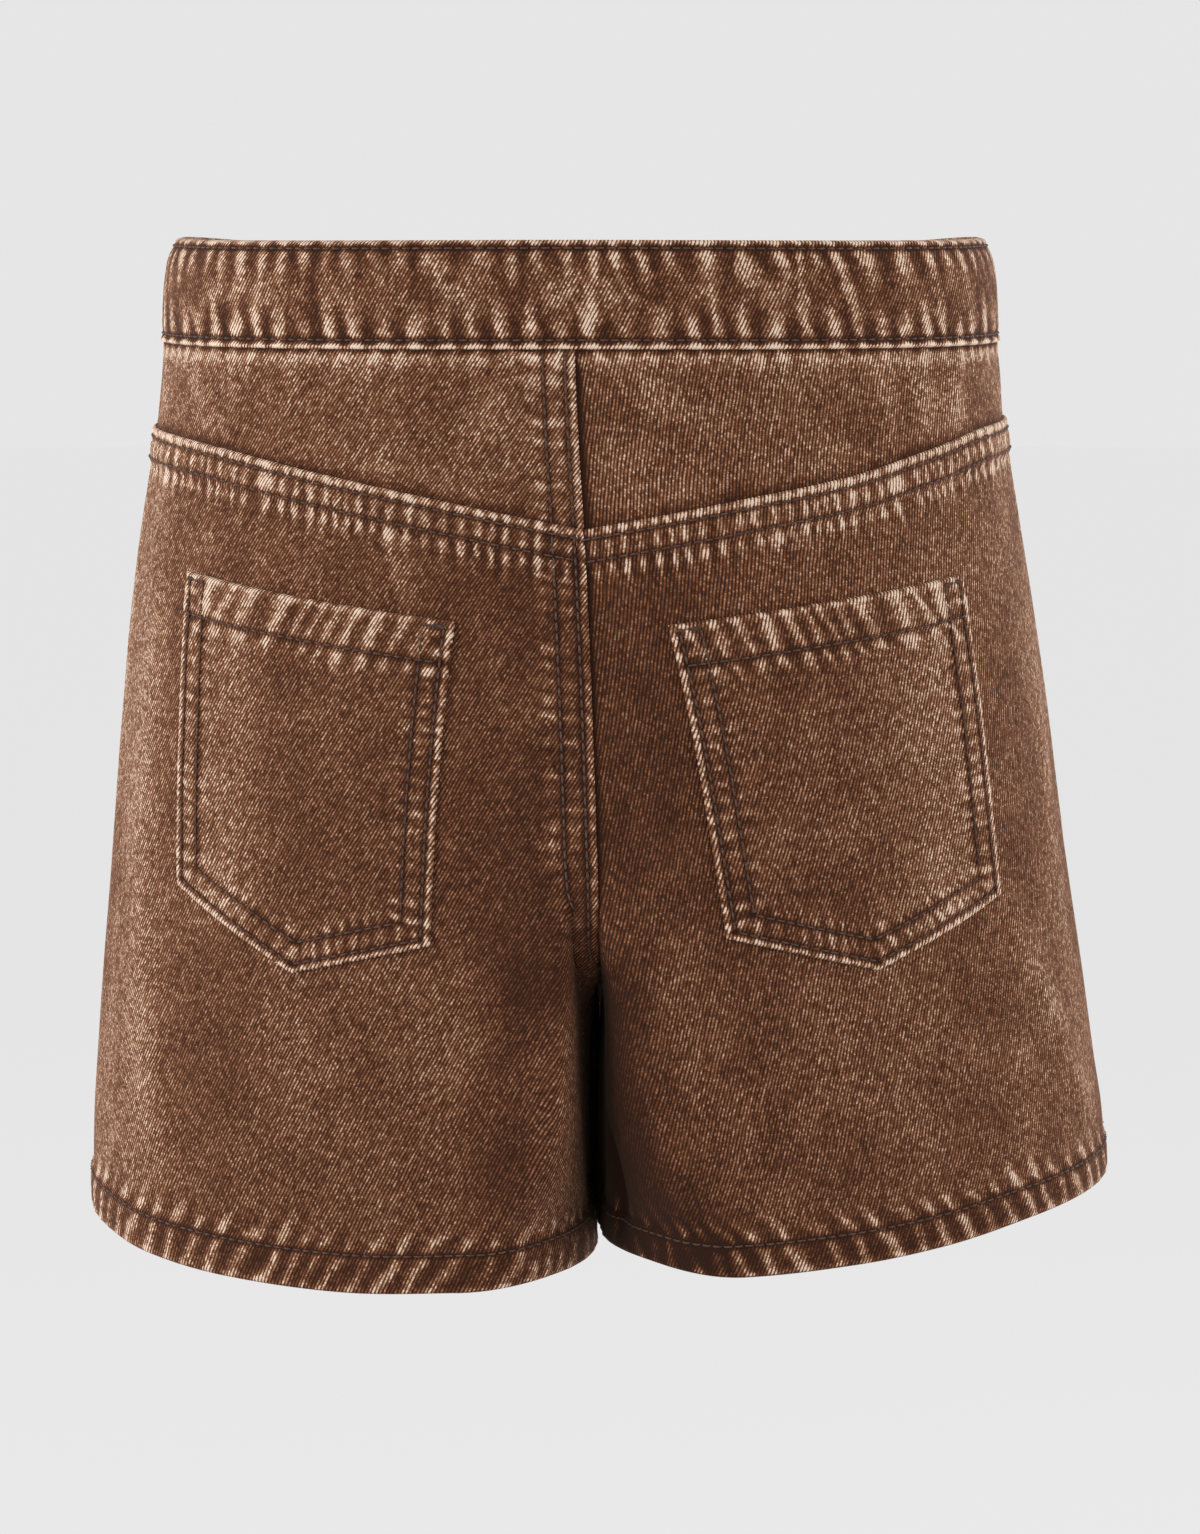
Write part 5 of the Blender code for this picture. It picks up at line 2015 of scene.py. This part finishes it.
@dataclass(frozen=True)
class Twill:
    """Cotton denim, woven 3/1 in twill, dyed brown in the warp and stone washed.

    The dye sits on the outside of the warp, so rubbing bares pale cotton first on the top of each twill
    line. To the eye it is a dark ground with pale slanting lines, which grow paler and denser with wear,
    broken into short flecks where the yarn is uneven.

    Attributes:
        name: Name of the material.
        ramp: Colours from no wear to full wear, each with its place.
        contrast: How far the floats of the warp are paler than the ground between the twill lines.
        flecks: How far the most rubbed floats are paler than the others.
        yarns: How far the uneven yarn makes long streaks.
        clumps: How far it makes small patches.
        cloud: The same for the soft cloudiness of the wash.
        bias: Wear that is added all over.
        roughness: Roughness of the cotton.
    """

    name: str
    ramp: tuple[tuple[float, str], ...]
    contrast: float
    flecks: float
    yarns: float
    clumps: float
    cloud: float
    bias: float = 0.0
    roughness: float = 0.9

    def make(self) -> Material:
        """Builds the material."""
        material, tree, shader = new_material(self.name)
        lines = add_node(tree, "ShaderNodeUVMap", uv_map="twill").outputs[0]
        across, along, _ = add_node(tree, "ShaderNodeSeparateXYZ", {0: lines}).outputs
        # Rubbed-off dye, less the painted shade, as the mesh carries it
        wear = add_node(tree, "ShaderNodeAttribute", attribute_name="wear").outputs["Fac"]
        found = {**vars(self), "across": across, "along": along, "wear": wear}
        for name, (wide, long, detail, shift) in GRAINS.items():
            x, y = (
                add_node(tree, "ShaderNodeMath", {0: run, 1: size}, operation="DIVIDE").outputs[0]
                for run, size in ((across, wide), (along, long))
            )
            where = add_node(tree, "ShaderNodeCombineXYZ", {0: x, 1: y, 2: shift}).outputs[0]
            inputs = {"Vector": where, "Scale": 1.0, "Detail": detail, "Roughness": 0.55}
            found[name] = add_node(tree, "ShaderNodeTexNoise", inputs).outputs[0]
        for name, work, *values in WEAVE:
            kind, settings = OTHER_STEPS.get(work, ("ShaderNodeMath", {"operation": work}))
            inputs = {place: found.get(value, value) for place, value in enumerate(values)}
            found[name] = add_node(tree, kind, inputs, **settings).outputs[0]
        colour = add_node(tree, "ShaderNodeValToRGB", {0: found["shade"]}, self.ramp)
        relief = {"Height": found["height"], "Strength": 0.6, "Distance": 0.16 * MM}
        look = {
            "Base Color": colour.outputs[0],
            "Normal": add_node(tree, "ShaderNodeBump", relief).outputs[0],
            "Roughness": self.roughness,
            "Specular IOR Level": 0.12,
            "Sheen Weight": 0.05,
            "Sheen Roughness": 0.5,
            "Sheen Tint": linear("#D9BFA8"),
        }
        connect(tree, shader, look)
        return material


@dataclass(frozen=True)
class Mottled:
    """A finish whose colour and relief follow one noise.

    Attributes:
        name: Name of the material.
        grains: Grains of the noise in a metre.
        detail: Number of its finer octaves.
        stops: Places and colours of its ramp, or one of them for an even colour.
        relief: Strength of the relief, and its height in mm.
        roughness: Roughness where the noise is low and where it is high, or one value all over.
        values: What else the shader gets.
    """

    name: str
    grains: float
    detail: float
    stops: tuple[tuple[float, str], ...]
    relief: tuple[float, float]
    roughness: tuple[float, ...]
    values: dict[str, float | tuple] = field(default_factory=dict)

    def make(self) -> Material:
        """Builds the material."""
        material, tree, shader = new_material(self.name)
        where = add_node(tree, "ShaderNodeTexCoord").outputs["Object"]
        inputs = {"Vector": where, "Scale": self.grains, "Detail": self.detail}
        grain = add_node(tree, "ShaderNodeTexNoise", inputs).outputs[0]
        look = {"Base Color": linear(self.stops[0][1]), "Roughness": self.roughness[0], **self.values}
        if len(self.stops) > 1:
            look["Base Color"] = add_node(tree, "ShaderNodeValToRGB", {0: grain}, self.stops).outputs[0]
        if len(self.roughness) > 1:
            low, high = self.roughness
            look["Roughness"] = add_node(tree, "ShaderNodeMapRange", {0: grain, 3: low, 4: high}).outputs[0]
        strength, height = self.relief
        relief = {"Height": grain, "Strength": strength, "Distance": height * MM}
        look["Normal"] = add_node(tree, "ShaderNodeBump", relief).outputs[0]
        connect(tree, shader, look)
        return material


# Polyester thread with a cotton skin, spun and dyed dark brown. To the eye it is dull and nearly black.
# Its plies turn about once in 2 mm, and the grains are about that long.
CORE_SPUN_THREAD = Mottled(
    "dyed_core_spun_thread", 900.0, 2.0, ((0.38, "#352015"), (0.72, "#573A28")), (0.4, 0.1), (0.7,)
)

# Stamped brass with a dark patina in blots about 2 mm wide. To the eye it is a warm dull metal, brighter
# on top.
AGED_BRASS = Mottled(
    "aged_stamped_brass",
    420.0,
    4.0,
    ((0.35, "#5A452C"), (0.62, "#96794E")),
    (0.25, 0.05),
    (0.55, 0.3),
    {"Metallic": 1.0},
)

# Matt paper, lit from behind like a translucent sweep. To the eye it keeps one even pale tone.
BACKDROP = "#E6E6E6"
STUDIO_PAPER = Mottled(
    "matt_studio_paper",
    60.0,
    3.0,
    ((0.0, "#3C3C3C"),),
    (0.05, 1.0),
    (1.0,),
    {"Specular IOR Level": 0.0, "Emission Color": linear(BACKDROP), "Emission Strength": 0.965},
)

# Soft boxes: name, direction as seen from above, 180 being the side of the camera, height in degrees,
# width in metres and power in watts
SOFT_BOXES = (
    ("soft_box_left", 112, 12, 1.5, 46),
    ("soft_box_right", 250, 12, 1.5, 34),
    ("soft_box_above", 180, 48, 1.6, 12),
    ("soft_box_front_left", 60, 25, 1.6, 26),
    ("soft_box_front_right", -50, 25, 1.6, 30),
)


@dataclass(frozen=True)
class Studio:
    """Pale floor, soft light and the camera.

    Attributes:
        floor_height: Height of the floor, well under the garment, which its wearer would hold up.
        distance: From the camera to the garment.
        elevation: How far the camera looks down, in degrees.
        aim: Point that the middle of the picture shows.
        lens: Focal length for a sensor 36 mm on the long side.
        ambient: Strength of the light from all round.
    """

    floor_height: float = -0.85
    distance: float = 1.80
    elevation: float = 7.5
    aim: tuple[float, float, float] = (-0.0075, 0.0, -0.1737)
    lens: float = 116.17
    ambient: float = 0.30

    # Radius of the floor in mm, and the number of its sides
    FLOOR_RADIUS = 12000.0
    FLOOR_SIDES = 96

    # Distance of the soft boxes from the garment
    LAMP_DISTANCE = 2.2

    def floor(self) -> None:
        """Makes the floor."""
        turn = 2 * np.pi * np.arange(self.FLOOR_SIDES) / self.FLOOR_SIDES
        points = self.FLOOR_RADIUS * np.stack([np.cos(turn), np.sin(turn), np.zeros_like(turn)], axis=1)
        data = new_mesh("studio_floor", points, [range(self.FLOOR_SIDES)], STUDIO_PAPER.make())
        add_object("studio_floor", data, (0, 0, self.floor_height))

    def surroundings(self) -> None:
        """Makes the even tone behind the garment and the soft light from all round."""
        world = bpy.data.worlds.new("studio")
        bpy.context.scene.world = world
        world.use_nodes = True
        tree = world.node_tree
        seen = tree.nodes["Background"]
        connect(tree, seen, {0: linear(BACKDROP), 1: 1.0})
        light = add_node(tree, "ShaderNodeBackground", {0: linear("#FFFFFF"), 1: self.ambient})
        path = add_node(tree, "ShaderNodeLightPath")
        inputs = {0: path.outputs["Is Camera Ray"], 1: light.outputs[0], 2: seen.outputs[0]}
        mix = add_node(tree, "ShaderNodeMixShader", inputs)
        connect(tree, tree.nodes["World Output"], {0: mix.outputs[0]})

    def lamp(self, name: str, azimuth: float, elevation: float, size: float, power: float) -> None:
        """Makes a soft box.

        Args:
            name: Its name.
            azimuth: Its direction as seen from above, in degrees.
            elevation: Its height above the garment, in degrees.
            size: Its width in metres.
            power: Its power in watts.
        """
        data = bpy.data.lights.new(name, "AREA")
        data.shape = "SQUARE"
        data.size = size
        data.energy = power
        turn, rise = math.radians(azimuth), math.radians(elevation)
        out = Vector((math.sin(turn) * math.cos(rise), -math.cos(turn) * math.cos(rise), math.sin(rise)))
        add_object(name, data, Vector(self.aim) + out * self.LAMP_DISTANCE, out)

    def camera(self) -> None:
        """Makes the camera at the photograph's angle, which looks at the back of the garment."""
        data = bpy.data.cameras.new("studio_camera")
        data.sensor_width = 36.0
        data.lens = self.lens
        rise = math.radians(self.elevation)
        back = Vector((0, math.cos(rise), math.sin(rise)))
        place = Vector(self.aim) + back * self.distance
        bpy.context.scene.camera = add_object("studio_camera", data, place, back)

    def make(self) -> None:
        """Builds the studio."""
        self.floor()
        self.surroundings()
        for box in SOFT_BOXES:
            self.lamp(*box)
        self.camera()
        bpy.context.scene.view_settings.view_transform = "Standard"


# Colours of the washed denim, from full dye to bare cotton
WASH_RAMP = (
    (0.0, "#2A150C"),
    (0.2, "#452615"),
    (0.4, "#663F29"),
    (0.6, "#896048"),
    (0.8, "#AF8F76"),
    (1.0, "#D3C0AE"),
)

# Creases of each back leg and yoke, as the photograph shows them
BACK_CREASES = {
    Side.LEFT: (
        Crease((14, -60), (20, -190), 5, 0.9, 0.16),
        Crease((46, -70), (62, -330), 12, 1.0, 0.16),
        Crease((80, -90), (74, -76), 4, 0.5, 0.08),
        Crease((151, -84), (161, -104), 3.5, 0.6, 0.12),
        Crease((93, -140), (103, -215), 6, 0.5, 0.08),
        Crease((62, -230), (80, -325), 9, 1.2, 0.1),
        Crease((219, -246), (224, -294), 6, 1.4, 0.08),
    ),
    Side.RIGHT: (
        Crease((7, -55), (13, -190), 5, 0.9, 0.12),
        Crease((22, -95), (38, -217), 7, 0.8, 0.12),
        Crease((81, -205), (40, -290), 7, 1.3, 0.14),
        Crease((141, -78), (133, -96), 4, 0.5, 0.08),
        Crease((222, -252), (214, -322), 4, 1.2, 0.08),
        # A hollow by the inseam, sunk in and with painted shade in its trough
        Crease((252, -286), (247, -322), 6, -5.0, -0.3),
    ),
}

YOKE_CREASES = {
    Side.LEFT: (
        Crease((22, -22), (28, -46), 4, 0.6, 0.14),
        Crease((50, -26), (68, -48), 4, 0.5, 0.14),
        Crease((103.5, -20), (101, -38), 3, 0.5, 0.14),
        Crease((78, -24), (74, -46), 4, 0.4, 0.06),
    ),
    Side.RIGHT: (
        Crease((9, -22), (15, -42), 4, 0.6, 0.12),
        Crease((55, -22), (63, -48), 4, 0.8, 0.14),
        Crease((76.5, -21), (79, -50), 4, 0.7, 0.14),
        Crease((94.5, -21), (94.5, -50), 4, 0.6, 0.12),
        Crease((188, -22), (160, -46), 3.5, 0.5, 0.12),
        Crease((188, -30), (172, -44), 3, 0.4, 0.1),
    ),
}


SKIRT_CREASES = (
    Crease((60, -60), (48, -200), 9, 1.2, 0.08),
    Crease((150, -50), (170, -220), 10, 1.4, 0.08),
    Crease((250, -60), (262, -230), 9, 1.2, 0.1),
    Crease((100, -200), (104, -320), 12, 1.4, 0.06),
    Crease((210, -190), (200, -320), 12, 1.4, 0.06),
)

FRONT_CREASES = (
    Crease((12, -60), (20, -190), 5, 0.8, 0.1),
    Crease((40, -70), (48, -250), 8, 0.9, 0.1),
)


def build_backs(denims: Denims) -> list[Object]:
    """Builds the two back leg panels with their yokes and pockets.

    Args:
        denims: Their finishes.

    Returns:
        Their pieces.
    """
    pieces = []
    leg_twill = {Side.LEFT: 64.0, Side.RIGHT: 71.0}
    pocket_twill = {Side.LEFT: 63.0, Side.RIGHT: 66.0}
    seeds = {Side.LEFT: 100, Side.RIGHT: 200}
    for side in Side:
        quarter, seed, row = Quarter(side, Face.BACK), seeds[side], HEM_ROW[side]
        leg = LegPanel(
            quarter=quarter,
            flat=(0.31, 0.30),
            area=0.068,
            twill_angle=leg_twill[side],
            top_seam=FELL,
            hem=replace(LEG_HEM, rows=(row,), depth=row + 1.0, seed=seed + 1),
            centre_seam=CENTRE_FELL if side == Side.LEFT else None,
            creases=BACK_CREASES[side],
            seed=seed,
        )
        yoke = Yoke(
            quarter=quarter,
            flat=(0.245, 0.062),
            area=0.0112,
            twill_angle=leg_twill[side],
            creases=YOKE_CREASES[side],
            seed=seed,
        )
        pocket = PatchPocket(
            quarter=quarter,
            corners=POCKET_CORNERS[side],
            flat=(0.113, 0.137),
            area=0.0133,
            twill_angle=pocket_twill[side],
            seed=seed,
        )
        for panel in (leg, yoke, pocket):
            pieces += panel.make(denims)
    return pieces


def build_fronts(denims: Denims) -> list[Object]:
    """Builds the two front leg panels, which the skirt panel covers in part.

    Args:
        denims: Their finishes.

    Returns:
        Their pieces.
    """
    pieces = []
    seeds = {Side.LEFT: 300, Side.RIGHT: 400}
    insets = {Side.LEFT: 0.0, Side.RIGHT: FOLDED + LAYER_GAP * 2}
    for side in Side:
        seed, row = seeds[side], HEM_ROW[side]
        leg = LegPanel(
            quarter=Quarter(side, Face.FRONT, insets[side], FOLDED + SKIRT_EASE),
            flat=(0.31, 0.33),
            area=0.076,
            twill_angle=64.0,
            top_seam=replace(GATHERED, seed=seed + 3),
            hem=replace(LEG_HEM, rows=(row,), depth=row + 1.0, pucker=0.6, lean=0.25, seed=seed + 1),
            creases=FRONT_CREASES,
            column_step=2.0,
            seed=seed,
        )
        pieces += leg.make(denims)
    return pieces


def main() -> None:
    """Builds the garment and the studio, piece by piece."""
    logging.basicConfig(level=logging.INFO, format="%(message)s")
    denims = Denims(
        face=Twill("stone_washed_twill_denim", WASH_RAMP, 0.76, 0.58, 0.66, 0.7, 0.28).make(),
        reverse=Twill("denim_reverse_weft_side", WASH_RAMP, 0.3, 0.5, 0.3, 0.3, 0.1, 0.12, 0.95).make(),
        thread=CORE_SPUN_THREAD.make(),
    )
    pieces = build_backs(denims) + build_fronts(denims)
    front = Quarter(Side.LEFT, Face.FRONT, legs=False)
    skirt = WrapSkirt(
        quarter=front, flat=(0.345, 0.33), area=0.105, twill_angle=66.0, creases=SKIRT_CREASES, seed=500
    )
    band = Waistband(quarter=front, flat=(0.86, 0.037), area=0.86 * 0.037, twill_angle=62.0)
    pieces += skirt.make(denims) + band.make(denims)
    pieces += ShankButton(front).make(AGED_BRASS.make())
    for piece in pieces:
        LOG.info("%s: %d faces", piece.name, len(piece.data.polygons))
    Studio().make()


if __name__ == "__main__":
    main()
